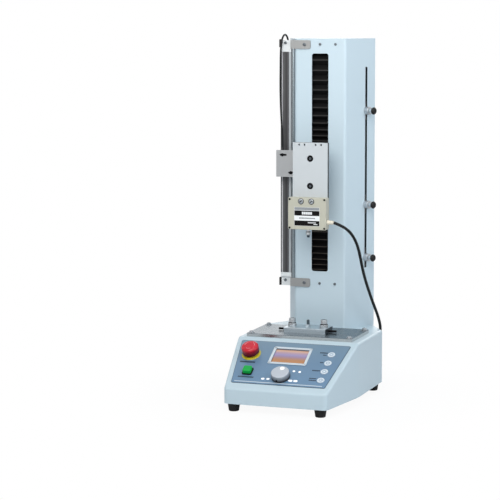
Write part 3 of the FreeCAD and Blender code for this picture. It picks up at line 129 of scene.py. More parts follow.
def buildStage():
    world = bpy.data.worlds.new("studioWorld")
    bpy.context.scene.world = world
    world.use_nodes = True
    tree = world.node_tree
    tree.nodes.clear()
    rays = addNode(tree, "LightPath").outputs
    seen = addNode(tree, "Math", {0: rays["Is Camera Ray"], 1: rays["Is Glossy Ray"]}, operation="MAXIMUM")
    seen = addNode(tree, "Math", {0: seen, 1: rays["Is Transmission Ray"]}, operation="MAXIMUM")
    # soft room light, a little brighter overhead
    where = addNode(tree, "TexCoord").outputs["Object"]
    up = addNode(tree, "SeparateXYZ", {"Vector": where}).outputs["Z"]
    level = addNode(tree, "MapRange", {"Value": up, "From Min": -0.2, "From Max": 0.9, "To Min": roomSet["low"],
                                       "To Max": roomSet["high"]})
    soft = addNode(tree, "Background", {"Color": roomSet["tint"], "Strength": level})
    plain = addNode(tree, "Background", {"Color": "ffffff", "Strength": 1.0})
    mixed = addNode(tree, "MixShader", {0: seen, 1: soft, 2: plain})
    addNode(tree, "OutputWorld", {"Surface": mixed})

    bm = bmesh.new()
    bmesh.ops.create_grid(bm, x_segments=1, y_segments=1, size=roomSet["floorSize"])
    mesh = bpy.data.meshes.new("studioFloor")
    bm.to_mesh(mesh)
    bm.free()
    floor = bpy.data.objects.new("studioFloor", mesh)
    bpy.context.collection.objects.link(floor)
    # for the camera the floor fades into the white room, and keeps a soft shadow near the feet
    finish = startFinish("matt floor paint", roomSet["floor"], 0.8)
    tree, shader, where = openFinish(finish)
    camera = addNode(tree, "LightPath").outputs["Is Camera Ray"]
    white = addNode(tree, "Emission", {"Color": "ffffff", "Strength": 1.0})
    away = addNode(tree, "VectorMath", {0: where}, operation="LENGTH")
    share = addNode(tree, "MapRange", {"Value": away, "From Min": roomSet["fade"][0] * mm,
                                       "From Max": roomSet["fade"][1] * mm, "To Min": 0.94, "To Max": 1.0})
    seen = addNode(tree, "Math", {0: camera, 1: share}, operation="MULTIPLY")
    mixed = addNode(tree, "MixShader", {0: seen, 1: shader, 2: white})
    setInputs(tree.nodes["Material Output"], {"Surface": mixed})
    mesh.materials.append(finish)

    for name, lamp in lampSet.items():
        data = bpy.data.lights.new(name, "AREA")
        data.shape = "DISK"
        data.size = lamp["size"] * mm
        data.energy = lamp["watts"]
        data.color = linear(lamp["tint"])
        obj = bpy.data.objects.new(name + "Lamp", data)
        obj.location = place(*lamp["at"])
        obj.rotation_euler = (place(*lamp["aim"]) - obj.location).to_track_quat("-Z", "Y").to_euler()
        bpy.context.collection.objects.link(obj)

    data = bpy.data.cameras.new("standCamera")
    data.lens = cameraSet["lens"]
    data.sensor_width = 36
    data.clip_end = 60
    camera = bpy.data.objects.new("standCamera", data)
    camera.location = place(*cameraSet["eye"])
    look = place(*cameraSet["target"]) - camera.location
    roll = Quaternion((0, 0, 1), math.radians(cameraSet["roll"]))
    camera.rotation_euler = (look.to_track_quat("-Z", "Y") @ roll).to_euler()
    bpy.context.collection.objects.link(camera)
    bpy.context.scene.camera = camera
    bpy.context.scene.view_settings.view_transform = "Standard"


buildStage()
print("stage ready")

# looks that several finishes share


def fineRelief(finish, sizeMm, depthMm, strength, detail=2.0, stretch=(1, 1, 1)):
    # lumps about sizeMm across, or lines where they are stretched; returns their pattern
    tree, shader, where = openFinish(finish)
    drawn = addNode(tree, "Mapping", {"Vector": where, "Scale": stretch})
    pattern = addNode(tree, "TexNoise", {"Vector": drawn, "Scale": 1 / (sizeMm * mm), "Detail": detail})
    relief = addNode(tree, "Bump", {"Height": pattern, "Distance": depthMm * mm, "Strength": strength})
    setInputs(shader, {"Normal": relief})
    return pattern


def unevenGloss(finish, pattern, smooth, rough, spread=0.3):
    # the roughness follows a pattern, spread to either side of its middle
    tree, shader, where = openFinish(finish)
    level = addNode(tree, "MapRange", {"Value": pattern, "From Min": 0.5 - spread, "From Max": 0.5 + spread,
                                       "To Min": smooth, "To Max": rough})
    setInputs(shader, {"Roughness": level})


def ownPlace(tree, where, face):
    # object coordinates turned into those of a face
    return addNode(tree, "Mapping", {"Vector": where, "Location": place(*face["foot"]), "Rotation": face["turn"]},
                   vector_type="TEXTURE")


def colourAlong(tree, value, span, stops, sharp=False):
    # colours between two places in mm
    share = addNode(tree, "MapRange", {"Value": value, "From Min": span[0] * mm, "From Max": span[1] * mm})
    return addNode(tree, "ValToRGB", {"Fac": share}, stops, sharp)


def within(tree, tests):
    # 1 where every test holds, each one a value, a comparison and its limit in mm
    share = 1.0
    for value, comparison, limit in tests:
        passed = addNode(tree, "Math", {0: value, 1: limit * mm}, operation=comparison)
        share = addNode(tree, "Math", {0: share, 1: passed}, operation="MULTIPLY")
    return share


def twoTone(finish, share, first, second):
    # the first colour, and the second one where the share is 1
    tree, shader, where = openFinish(finish)
    mixed = addNode(tree, "Mix", {"Factor": share, "A": first, "B": second}, data_type="RGBA")
    setInputs(shader, {"Base Color": mixed})
    return mixed


# finishes, each one named for what the real thing is made of

# a wave texture's lines lie this many metres apart at a scale of 1
waveSpan = math.pi / 10


def powderCoat(name, colour, roughness=0.38):
    # baked powder on steel and cast metal: even colour, soft gloss, faint orange peel about 1.5 mm across
    finish = startFinish(name, colour, roughness, 0.0, {"Coat Weight": 0.15, "Coat Roughness": 0.25})
    tree, shader, where = openFinish(finish)
    fineRelief(finish, 1.5, 0.03, 0.35, 3)
    patch = addNode(tree, "TexNoise", {"Vector": where, "Scale": 1 / (90 * mm), "Detail": 1})
    unevenGloss(finish, patch, roughness - 0.04, roughness + 0.05)
    return finish


def brushedMetal(name, colour, roughness, stretch, lineMm=0.35, depth=0.012):
    # ground or brushed metal: fine parallel lines that spread the highlight along them
    finish = startFinish(name, colour, roughness, 1.0)
    lines = fineRelief(finish, lineMm, depth, 0.5, 3, stretch)
    unevenGloss(finish, lines, roughness - 0.05, roughness + 0.07, 0.25)
    return finish


def mouldedPlastic(name, colour, roughness, textureMm=0.6, depth=0.02, more=None):
    # injection moulding: even colour, spark-eroded texture, small change in gloss
    finish = startFinish(name, colour, roughness, 0.0, more)
    tree, shader, where = openFinish(finish)
    fineRelief(finish, textureMm, depth, 0.4)
    patch = addNode(tree, "TexNoise", {"Vector": where, "Scale": 1 / (25 * mm), "Detail": 1})
    unevenGloss(finish, patch, roughness - 0.03, roughness + 0.04)
    return finish


def platedMetal(name, colour, roughness):
    # nickel or zinc plate: a clean mirror, a little uneven
    finish = startFinish(name, colour, roughness, 1.0)
    tree, shader, where = openFinish(finish)
    patch = addNode(tree, "TexNoise", {"Vector": where, "Scale": 1 / (4 * mm), "Detail": 2})
    unevenGloss(finish, patch, roughness * 0.7, roughness * 1.5)
    return finish


# planes of the sheet, how deep it counts as outside, and the band of painted shade over the stops' slot: its middle
# along the right side from the front fold, half its width, its middle height and half its height
coverSet = {"colour": "c3d5df", "dark": "0d1012", "front": 103.5, "rear": 190, "top": 747, "wall": 1.6,
            "slotAlong": 67.0, "slotHalf": 3.3, "slotMiddle": 472.0, "slotReach": 214.8}


def coverPaint():
    # powder coat outside; painted shade on the bare inner faces and in a band over the stops' slot
    finish = powderCoat("pale blue powder coat, painted shade inside", coverSet["colour"])
    tree, shader, where = openFinish(finish)
    x, y, z = addNode(tree, "SeparateXYZ", {"Vector": where}).outputs
    # both sides are alike, and the cover's y and z are positive all over
    folded = addNode(tree, "VectorMath", {0: where}, operation="ABSOLUTE")
    out = addNode(tree, "SeparateXYZ", {"Vector": ownPlace(tree, folded, side)}).outputs["X"]
    wall = coverSet["wall"]
    inner = within(tree, [(out, "LESS_THAN", -wall), (y, "GREATER_THAN", coverSet["front"] + wall),
                          (y, "LESS_THAN", coverSet["rear"] - wall), (z, "LESS_THAN", coverSet["top"] - wall)])
    along = addNode(tree, "SeparateXYZ", {"Vector": ownPlace(tree, where, side)}).outputs["Y"]
    across = addNode(tree, "Math", {0: along, 1: coverSet["slotAlong"] * mm, 2: coverSet["slotHalf"] * mm},
                     operation="COMPARE")
    upright = addNode(tree, "Math", {0: z, 1: coverSet["slotMiddle"] * mm, 2: coverSet["slotReach"] * mm},
                      operation="COMPARE")
    slotShade = addNode(tree, "Math", {0: across, 1: upright}, operation="MULTIPLY")
    # painted shade: the inner faces and the band over the slot take the dark colour
    dark = addNode(tree, "Math", {0: slotShade, 1: inner}, operation="MAXIMUM")
    twoTone(finish, dark, coverSet["colour"], coverSet["dark"])
    return finish


# the black rim begins rimFrom out of the column's side
stopSet = {"rim": "0c0c0d", "neck": "bccbd4", "rimFrom": 19.0}


def stopKnob():
    # thumb screw of a travel stop: a black moulded rim on a satin metal neck
    finish = mouldedPlastic("black rim on a satin neck", stopSet["rim"], 0.45, more={"Specular IOR Level": 0.3})
    tree, shader, where = openFinish(finish)
    out = addNode(tree, "SeparateXYZ", {"Vector": ownPlace(tree, where, side)}).outputs["X"]
    rim = within(tree, [(out, "GREATER_THAN", stopSet["rimFrom"])])
    twoTone(finish, rim, stopSet["neck"], stopSet["rim"])
    return finish


# span is out of the slope, from the grip ring to the face, where the painted shade fades out; the dimple is the mark
# of a ball with its middle at a place across, up and out of the slope, and is painted white as a highlight
dialSet = {"span": (1.6, 15.0), "dimple": (2.0, 56.3, 19.6), "dimpleRadius": 6.62}


def turnedKnob():
    # satin turned aluminium, painted shade down to the grip ring, a polished finger dimple painted as a highlight
    finish = brushedMetal("satin turned knob, painted shade and highlight", "b3b9c0", 0.5, (1, 1, 1), 0.5, 0.01)
    tree, shader, where = openFinish(finish)
    out = addNode(tree, "SeparateXYZ", {"Vector": ownPlace(tree, where, slope)}).outputs["Z"]
    # painted shade: darker towards the grip ring at the knob's foot
    colour = colourAlong(tree, out, dialSet["span"], [(0.0, "1c1e22"), (0.22, "3a3e44"), (0.5, "7d838a"),
                                                      (0.93, "a9b0b8"), (1.0, "b9c0c9")])
    ball = onSlope(*dialSet["dimple"]).to_translation()
    away = addNode(tree, "VectorMath", {0: where, 1: ball}, operation="DISTANCE")
    # the polished dimple, its colour a painted white highlight
    inside = within(tree, [(away, "LESS_THAN", dialSet["dimpleRadius"])])
    twoTone(finish, inside, colour, "ffffff")
    metal = addNode(tree, "MapRange", {"Value": inside, "To Min": 0.5, "To Max": 0.9})
    setInputs(shader, {"Metallic": metal})
    return finish


# the bright edge ends at the height edgeTo, where the darker top begins; both are painted reflection
plateSet = {"top": "5d6b74", "edge": "b3babd", "edgeTo": 134.9}


def polishedPlate():
    # ground tool steel: a soft mirror with faint lines across, a darker top and a bright edge painted as reflection
    finish = startFinish("ground tool steel, painted reflection", "6d7880", 0.26, 1.0)
    tree, shader, where = openFinish(finish)
    lines = fineRelief(finish, 1.2, 0.003, 0.25, 3, (0.05, 1, 1))
    unevenGloss(finish, lines, 0.2, 0.34)
    z = addNode(tree, "SeparateXYZ", {"Vector": where}).outputs["Z"]
    # painted reflection: the top is darker and bluer than the edge of the same steel
    top = within(tree, [(z, "GREATER_THAN", plateSet["edgeTo"])])
    twoTone(finish, top, plateSet["edge"], plateSet["top"])
    return finish


# the ends, in painted shade, begin endFrom from the middle, and the stud at the height studFrom
blockSet = {"face": "c4cfd6", "end": "39454e", "endFrom": 45.7, "stud": "59646b", "studFrom": 150.6}


def milledBlock():
    # milled bar: bright faces along it, its cut ends darkened as painted shade, and a dark stud
    finish = brushedMetal("milled steel block, ends in painted shade", "b6c1c8", 0.3, (0.05, 1, 1))
    tree, shader, where = openFinish(finish)
    x, y, z = addNode(tree, "SeparateXYZ", {"Vector": where}).outputs
    across = addNode(tree, "Math", {0: x}, operation="ABSOLUTE")
    # painted shade on the cut ends of the same steel
    ends = within(tree, [(across, "GREATER_THAN", blockSet["endFrom"])])
    stud = within(tree, [(z, "GREATER_THAN", blockSet["studFrom"])])
    colour = twoTone(finish, ends, blockSet["face"], blockSet["end"])
    twoTone(finish, stud, colour, blockSet["stud"])
    return finish


# the two screws stand at x and minus x; painted shade lies in a line between their steps, gap above and below gapAt
clampSet = {"at": (35, 25, 0), "teeth": 20, "topFrom": 161.4, "gapAt": 152.6, "shadeGap": 0.9}


def knurledNickel():
    # nickel plated clamp screws: a straight knurl with painted glints and shade round both steps, painted shade
    # between them
    finish = startFinish("knurled nickel plate", "c2c6c9", 0.16, 1.0)
    tree, shader, where = openFinish(finish)
    folded = addNode(tree, "VectorMath", {0: where}, operation="ABSOLUTE")
    centred = addNode(tree, "VectorMath", {0: folded, 1: place(*clampSet["at"])}, operation="SUBTRACT")
    x, y, z = addNode(tree, "SeparateXYZ", {"Vector": centred}).outputs
    turn = addNode(tree, "Math", {0: y, 1: x}, operation="ARCTAN2")
    turn = addNode(tree, "Math", {0: turn, 1: clampSet["teeth"]}, operation="MULTIPLY")
    teeth = addNode(tree, "Math", {0: turn}, operation="SINE")
    share = addNode(tree, "MapRange", {"Value": teeth, "From Min": -1.0, "From Max": 1.0})
    # painted glints and shade: each tooth lighter or darker by the way it faces
    colour = addNode(tree, "ValToRGB", {"Fac": share}, [(0.0, "4a4f54"), (0.35, "8f9498"), (0.6, "d5d9dc"),
                                                        (1.0, "eceff1")])
    top = within(tree, [(z, "GREATER_THAN", clampSet["topFrom"])])
    colour = twoTone(finish, top, colour, "aab0b4")
    # painted shade in the line between the two steps
    shadeGap = addNode(tree, "Math", {0: z, 1: clampSet["gapAt"] * mm, 2: clampSet["shadeGap"] * mm}, operation="COMPARE")
    twoTone(finish, shadeGap, colour, "23272b")
    relief = addNode(tree, "Bump", {"Height": teeth, "Distance": 0.15 * mm, "Strength": 0.6})
    setInputs(shader, {"Normal": relief})
    return finish


# heights of the tip and of the nut's upper end
shaftSet = {"span": (334, 351.5), "threadMm": 1.96}


def turnedShaft():
    # plated force shaft: a bright nut, a dark thread drawn about twice as coarse so that it shows, a blued tip
    finish = startFinish("plated shaft with dark thread", "d0d4d6", 0.2, 1.0)
    tree, shader, where = openFinish(finish)
    z = addNode(tree, "SeparateXYZ", {"Vector": where}).outputs["Z"]
    colour = colourAlong(tree, z, shaftSet["span"], [(0.0, "3d4a54"), (0.3, "4d5860"), (0.36, "c9cdd0"),
                                                     (0.55, "e2e5e7"), (0.72, "5a6065"), (0.8, "cfd3d6"),
                                                     (1.0, "dfe2e4")])
    thread = addNode(tree, "TexWave", {"Vector": where, "Scale": waveSpan / (shaftSet["threadMm"] * mm),
                                       "Distortion": 0.0}, bands_direction="Z")
    relief = addNode(tree, "Bump", {"Height": thread.outputs["Fac"], "Distance": 0.1 * mm, "Strength": 0.5})
    setInputs(shader, {"Base Color": colour, "Normal": relief})
    return finish


# out of the slope, from the foot of the skirt to the crown, the span of the painted shade
stopHeadSpan = (11, 24.5)


def stopRed():
    # red acetal dome: bright on the crown, and painted shade making it a deeper red down its skirt
    finish = mouldedPlastic("red gloss acetal", "c8102c", 0.18, 0.8, 0.006, {"Specular IOR Level": 0.4})
    tree, shader, where = openFinish(finish)
    out = addNode(tree, "SeparateXYZ", {"Vector": ownPlace(tree, where, slope)}).outputs["Z"]
    # painted shade: deeper red towards the foot of the skirt
    colour = colourAlong(tree, out, stopHeadSpan, [(0.0, "5a0512"), (0.45, "960a1d"), (0.8, "bd0f27"),
                                                   (1.0, "c6112c")])
    setInputs(shader, {"Base Color": colour})
    return finish


# half widths at the film's low and high edge, and the thin dark line along its edge
filmSet = {"low": 20, "high": 156, "lowHalf": 99.5, "highHalf": 118.5, "line": 0.9}


def controlFilm():
    # printed polycarbonate film: satin blue, lighter towards the top
    finish = startFinish("printed control film", "7394b4", 0.34)
    tree, shader, where = openFinish(finish)
    x, u = addNode(tree, "SeparateXYZ", {"Vector": ownPlace(tree, where, slope)}).outputs[:2]
    low, high, lowHalf, highHalf, line = filmSet.values()
    colour = colourAlong(tree, u, (low, high), [(0.0, "6486a4"), (0.55, "6684a0"), (1.0, "718b9f")])
    spread = (highHalf - lowHalf) / (high - low)
    half = addNode(tree, "Math", {0: u, 1: spread, 2: (lowHalf - low * spread) * mm}, operation="MULTIPLY_ADD")
    across = addNode(tree, "Math", {0: x}, operation="ABSOLUTE")
    past = addNode(tree, "Math", {0: across, 1: half}, operation="SUBTRACT")
    inner = within(tree, [(past, "LESS_THAN", -line), (u, "GREATER_THAN", low + line), (u, "LESS_THAN", high - line)])
    twoTone(finish, inner, "3a4c5e", colour)
    fineRelief(finish, 0.5, 0.01, 0.4)
    return finish


# lower and upper edge of the picture up the slope, and the pixel rows' spacing
displaySet = {"span": (90.5, 134.5), "rowMm": 1.2}


def lcdGlass():
    # lit display behind a clear cover: amber field, a cooler band, faint pixel rows, painted frame shadow at the top
    finish = startFinish("amber display glass", "c07a48", 0.12, 0.0,
                         {"Emission Strength": 0.18, "Coat Weight": 0.3, "Coat Roughness": 0.05})
    tree, shader, where = openFinish(finish)
    local = ownPlace(tree, where, slope)
    u = addNode(tree, "SeparateXYZ", {"Vector": local}).outputs["Y"]
    # the last stop is painted shadow of the frame along the top edge
    colour = colourAlong(tree, u, displaySet["span"], [
        (0.0, "a98a78"), (0.1, "b27c4e"), (0.26, "ad784f"), (0.38, "a07a72"), (0.5, "917b9a"), (0.62, "9387b2"),
        (0.76, "a88e9f"), (0.88, "c9a08e"), (0.95, "c29a86"), (1.0, "6e5f5c")])
    rows = addNode(tree, "TexWave", {"Vector": local, "Scale": waveSpan / (displaySet["rowMm"] * mm),
                                     "Distortion": 0.0}, bands_direction="Y")
    shade = addNode(tree, "ValToRGB", {"Fac": rows.outputs["Fac"]}, [(0.0, "e6e6e6"), (1.0, "ffffff")])
    lit = addNode(tree, "Mix", {"Factor": 1.0, "A": colour, "B": shade}, data_type="RGBA", blend_type="MULTIPLY")
    setInputs(shader, {"Base Color": lit, "Emission Color": lit})
    return finish


def facedPlate():
    # pale anodised sheet, 1.4 mm thick, on a black painted backing plate
    span = (36.5, 46.5)  # y of the sheet's front and of the plate's back
    finish = startFinish("faced carriage plate", "c4cace", 0.42)
    tree, shader, where = openFinish(finish)
    y = addNode(tree, "SeparateXYZ", {"Vector": where}).outputs["Y"]
    colour = colourAlong(tree, y, span, [(0.0, "c4cace"), (0.14, "17191b"), (1.0, "17191b")], True)
    setInputs(shader, {"Base Color": colour})
    fineRelief(finish, 0.8, 0.012, 0.4)
    return finish


# left and right edge in x, and the lower and upper end of the recess in z
scaleSet = {"span": (-89, -65), "ends": (247, 719)}


def scaleMetal():
    # drawn aluminium extrusion: pale ribs, a dark lip on the left, a smoked cover in the recess between the ends
    finish = startFinish("drawn aluminium extrusion", "b9bdc0", 0.4)
    tree, shader, where = openFinish(finish)
    x, y, z = addNode(tree, "SeparateXYZ", {"Vector": where}).outputs
    colour = colourAlong(tree, x, scaleSet["span"], [
        (0.0, "38383a"), (0.104, "bcbdc0"), (0.208, "575759"), (0.32, "484849"), (0.44, "353537"),
        (0.62, "4c4c50"), (0.7825, "aeb4b8"), (1.0, "a9b2b6")], True)
    low, high = scaleSet["ends"]
    between = within(tree, [(z, "GREATER_THAN", low), (z, "LESS_THAN", high)])
    twoTone(finish, between, "e0e4e6", colour)
    fineRelief(finish, 0.4, 0.01, 0.4, 3, (1, 1, 0.02))
    return finish


# from the front creases back to where the painted grey highlight ends
pleatSet = {"span": (106.4, 109.0), "weaveMm": 1.96}


def pleatCloth(name, crease, highlightReach):
    # coated pleat cloth: black, its front creases a painted dull grey highlight, and a weave coarse enough to show
    finish = startFinish(name, "060607", 0.7, 0.0, {"Specular IOR Level": 0.15})
    tree, shader, where = openFinish(finish)
    y = addNode(tree, "SeparateXYZ", {"Vector": where}).outputs["Y"]
    # painted highlight: grey at the front creases, fading to black behind them
    colour = colourAlong(tree, y, pleatSet["span"], [(0.0, crease), (highlightReach, "0e0e0e"), (1.0, "040405")])
    weave = addNode(tree, "TexWave", {"Vector": where, "Scale": waveSpan / (pleatSet["weaveMm"] * mm),
                                      "Distortion": 0.3}, bands_direction="X")
    relief = addNode(tree, "Bump", {"Height": weave.outputs["Fac"], "Distance": 0.04 * mm, "Strength": 0.3})
    setInputs(shader, {"Base Color": colour, "Normal": relief})
    return finish


paint = powderCoat("pale blue powder coat", "bccfd9")
columnPaint = coverPaint()
castPaint = powderCoat("grey casting paint", "8f9aa1", 0.5)
knobFinish = turnedKnob()
stopFinish = stopKnob()
film = controlFilm()
frameSilver = mouldedPlastic("silver painted frame", "c9d4dc", 0.4, 0.5, 0.01)
satinSteel = brushedMetal("brushed stainless steel", "9c9d9d", 0.5, (0.05, 1, 1))
groundSteel = brushedMetal("ground steel bar", "9aa3a8", 0.22, (1, 1, 0.03))
blockSteel = milledBlock()
clampNickel = knurledNickel()
shaftFinish = turnedShaft()
readerSteel = brushedMetal("brushed reader plate", "afb1b3", 0.45, (0.05, 1, 1))
satinAluminium = brushedMetal("satin anodised aluminium", "c4c6c9", 0.36, (1, 1, 1), 0.5, 0.01)
zincSheet = brushedMetal("zinc plated sheet", "a9adae", 0.42, (1, 1, 1), 6.0, 0.01)
nickel = platedMetal("nickel plate", "b4b9bd", 0.2)
screwSteel = platedMetal("zinc plated screws", "70767b", 0.25)
blackOxide = brushedMetal("black oxide steel", "1f1f21", 0.38, (1, 1, 1), 0.8, 0.01)
blackPlastic = mouldedPlastic("black glass-filled nylon", "0c0c0d", 0.5, more={"Specular IOR Level": 0.25})
redPlastic = stopRed()
yellowPlastic = mouldedPlastic("yellow polycarbonate", "d0bf2c", 0.35, 0.8, 0.008)
# the start button's emission is a painted glow: the button is no lamp
greenPlastic = mouldedPlastic("green translucent polycarbonate, painted glow", "00963c", 0.42, 0.8, 0.006, {
    "Specular IOR Level": 0.3, "Emission Color": "12c458", "Emission Strength": 0.1})
keyPlastic = mouldedPlastic("pale key moulding", "d3dde6", 0.35, 0.6, 0.008)
keyInk = mouldedPlastic("blue grey key inlay", "9fb2c4", 0.4, 0.5, 0.008)
beigePlastic = mouldedPlastic("beige instrument plastic", "bbbaab", 0.45, 0.9, 0.03)
creamPlastic = mouldedPlastic("cream nylon gland", "dfd9c8", 0.4)
boardGreen = mouldedPlastic("solder mask board", "1d5a34", 0.35)
lampWhite = mouldedPlastic("white lamp lens", "f4f7fa", 0.2, 0.8, 0.004, {"Emission Strength": 0.25})
rubber = mouldedPlastic("moulded black rubber", "0a0a0b", 0.6, 0.7, 0.03, {"Specular IOR Level": 0.3})
jacket = mouldedPlastic("black cable jacket", "0b0e11", 0.5, 0.9, 0.02, {"Specular IOR Level": 0.25})
printInk = mouldedPlastic("dark blue print", "1d2b3a", 0.45, 0.5, 0.004)
labelBlack = mouldedPlastic("black label print", "050505", 0.5, 0.6, 0.004, {"Specular IOR Level": 0.15})
markPink = mouldedPlastic("pale mark print and painted highlight", "e3929b", 0.35, 0.6, 0.004)
labelGrey = mouldedPlastic("grey label print", "8f9498", 0.35, 0.6, 0.004)
labelWhite = mouldedPlastic("white label print", "eef1f2", 0.35, 0.6, 0.004)
plate = polishedPlate()
lcd = lcdGlass()
plateFace = facedPlate()
scaleFinish = scaleMetal()
upperPleats = pleatCloth("coated pleat cloth", "353433", 0.1)
# the lower bellows lies in shade, so its painted crease highlight is brighter and wider
lowerPleats = pleatCloth("coated pleat cloth, brighter painted creases", "7d756c", 0.32)

nodeFinish = {
    paint: ["base_housing", "rear_cover", "rear_panel"], columnPaint: ["column_cover"], knobFinish: ["speed_knob"],
    film: ["control_panel"], lcd: ["display_module"], boardGreen: ["control_board"],
    castPaint: ["column_spine", "carriage_arm"],
    zincSheet: ["base_plate", "power_supply"],
    rubber: ["rubber_feet", "timing_belt"],
    satinAluminium: ["screw_pulley", "bearing_blocks", "stop_block_upper", "stop_block_middle", "stop_block_lower"],
    groundSteel: ["ball_screw", "guide_rails", "ball_nut", "slide_blocks", "motor_rotor", "scale_rod"],
    satinSteel: ["scale_brackets"], readerSteel: ["reader_plate"],
    clampNickel: ["fixture_clamps"], shaftFinish: ["gauge_shaft"],
    blockSteel: ["fixture_block"],
    nickel: ["table_screws", "sensor_socket", "sensor_plug"],
    plate: ["table_plate"],
    blackOxide: ["fixture_pins", "plate_screws"],
    blackPlastic: ["power_inlet", "power_rocker", "estop_plunger", "start_switch", "drive_motor", "reader_head"],
    stopFinish: ["stop_knob_upper", "stop_knob_middle", "stop_knob_lower"],
    redPlastic: ["estop_head"], yellowPlastic: ["estop_collar"], greenPlastic: ["start_button"],
    keyPlastic: ["key_1", "key_2", "key_3", "key_4"],
    plateFace: ["carriage_plate"], scaleFinish: ["scale_body"],
    beigePlastic: ["gauge_box"], creamPlastic: ["gauge_gland"]}
for finish, names in nodeFinish.items():
    for name in names:
        nodes[name].data.materials.clear()
        nodes[name].data.materials.append(finish)
print("finishes on", sum(len(names) for names in nodeFinish.values()), "nodes")


# shared making steps


def makePiece(name, bm, finish, body, sharp=35):
    # ends a bmesh as a smooth shaded piece, sharp where it turns by more than so many degrees
    mesh = bpy.data.meshes.new(name)
    bm.to_mesh(mesh)
    bm.free()
    mesh.materials.append(finish)
    for face in mesh.polygons:
        face.use_smooth = True
    mesh.set_sharp_from_angle(angle=math.radians(sharp))
    obj = bpy.data.objects.new(name, mesh)
    bpy.context.collection.objects.link(obj)
    if body:
        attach(obj, body)
    return obj


def facing(spot, direction, turn=0.0):
    # a matrix that stands +Z along direction at a spot given in mm
    upright = Vector(direction).to_track_quat("Z", "Y").to_matrix().to_4x4()
    return Matrix.Translation(place(*spot)) @ upright @ Matrix.Rotation(math.radians(turn), 4, "Z")


def recessReach(kind, angle):
    # how far a driver recess reaches at an angle, as a share of its corner
    if kind == "hex":
        part = (angle + math.pi / 6) % (math.pi / 3) - math.pi / 6
        return math.cos(math.pi / 6) / math.cos(math.pi / 6 - abs(part))
    part = abs((angle + math.pi / 4) % (math.pi / 2) - math.pi / 4)
    arm = 0.24  # half the width of a cross recess's arm
    return 1 / math.cos(part) if part < math.atan(arm) else min(arm / math.sin(part), 1)


def addHead(bm, matrix, radius, height, kind, rounding=0.35, recess=0.5):
    # a screw head on the matrix's plane, with a driver recess; rounding and recess are shares of its size
    old = set(bm.verts)
    made = bmesh.ops.create_cone(bm, cap_ends=True, segments=24, radius1=radius * mm, radius2=radius * mm,
                                 depth=height * mm, matrix=Matrix.Translation((0, 0, height * mm / 2)))
    top = max({f for v in made["verts"] for f in v.link_faces}, key=lambda f: f.calc_center_median().z)
    bmesh.ops.bevel(bm, geom=list(top.edges), offset=height * rounding * mm, segments=3, affect="EDGES",
                    profile=0.5, material=-1)
    bm.faces.ensure_lookup_table()
    fresh = [f for f in bm.faces if not any(v in old for v in f.verts)]
    top = max(fresh, key=lambda f: f.calc_center_median().z)
    bmesh.ops.inset_region(bm, faces=[top], thickness=radius * (1 - recess) * 0.6 * mm)
    for v in top.verts:
        # the round loop takes the shape of the driver
        angle = math.atan2(v.co.y, v.co.x)
        v.co.xy = Vector((math.cos(angle), math.sin(angle))) * radius * recess * recessReach(kind, angle) * mm
    moved = bmesh.ops.extrude_discrete_faces(bm, faces=[top])["faces"]
    sunk = 0.55 * height
    bmesh.ops.translate(bm, verts=moved[0].verts, vec=(0, 0, -sunk * mm))
    bmesh.ops.transform(bm, matrix=matrix, verts=[v for v in bm.verts if v not in old])


def addSlab(bm, matrix, width, depth, height, corner, rounding=0.0):
    # a plate with round corners standing on the matrix's plane
    old = set(bm.verts)
    scale = Matrix.Diagonal((width * mm, depth * mm, height * mm, 1))
    bmesh.ops.create_cube(bm, size=1, matrix=Matrix.Translation((0, 0, height * mm / 2)) @ scale)
    fresh = [e for e in bm.edges if not any(v in old for v in e.verts)]
    upright = [e for e in fresh if abs(e.verts[0].co.z - e.verts[1].co.z) > height * mm * 0.5]
    bmesh.ops.bevel(bm, geom=upright, offset=corner * mm, segments=5, affect="EDGES", profile=0.5, material=-1)
    if rounding:
        rim = [e for e in bm.edges if not any(v in old for v in e.verts)
               and all(abs(v.co.z - height * mm) < 1e-7 for v in e.verts)]
        bmesh.ops.bevel(bm, geom=rim, offset=rounding * mm, segments=2, affect="EDGES", profile=0.5, material=-1)
    bmesh.ops.transform(bm, matrix=matrix, verts=[v for v in bm.verts if v not in old])


def addTurned(bm, matrix, outline, segments=48):
    # spins (radius, height) places about the matrix's z axis
    old = set(bm.verts)
    verts = [bm.verts.new((r * mm, 0, h * mm)) for r, h in outline]
    edges = [bm.edges.new(pair) for pair in zip(verts, verts[1:])]
    bmesh.ops.spin(bm, geom=verts + edges, cent=(0, 0, 0), axis=(0, 0, 1), angle=math.tau, steps=segments,
                   use_merge=True)
    fresh = [v for v in bm.verts if v not in old]
    bmesh.ops.remove_doubles(bm, verts=fresh, dist=1e-7)
    fresh = [v for v in bm.verts if v not in old]
    bmesh.ops.recalc_face_normals(bm, faces=list({f for v in fresh for f in v.link_faces}))
    bmesh.ops.transform(bm, matrix=matrix, verts=fresh)


# cables

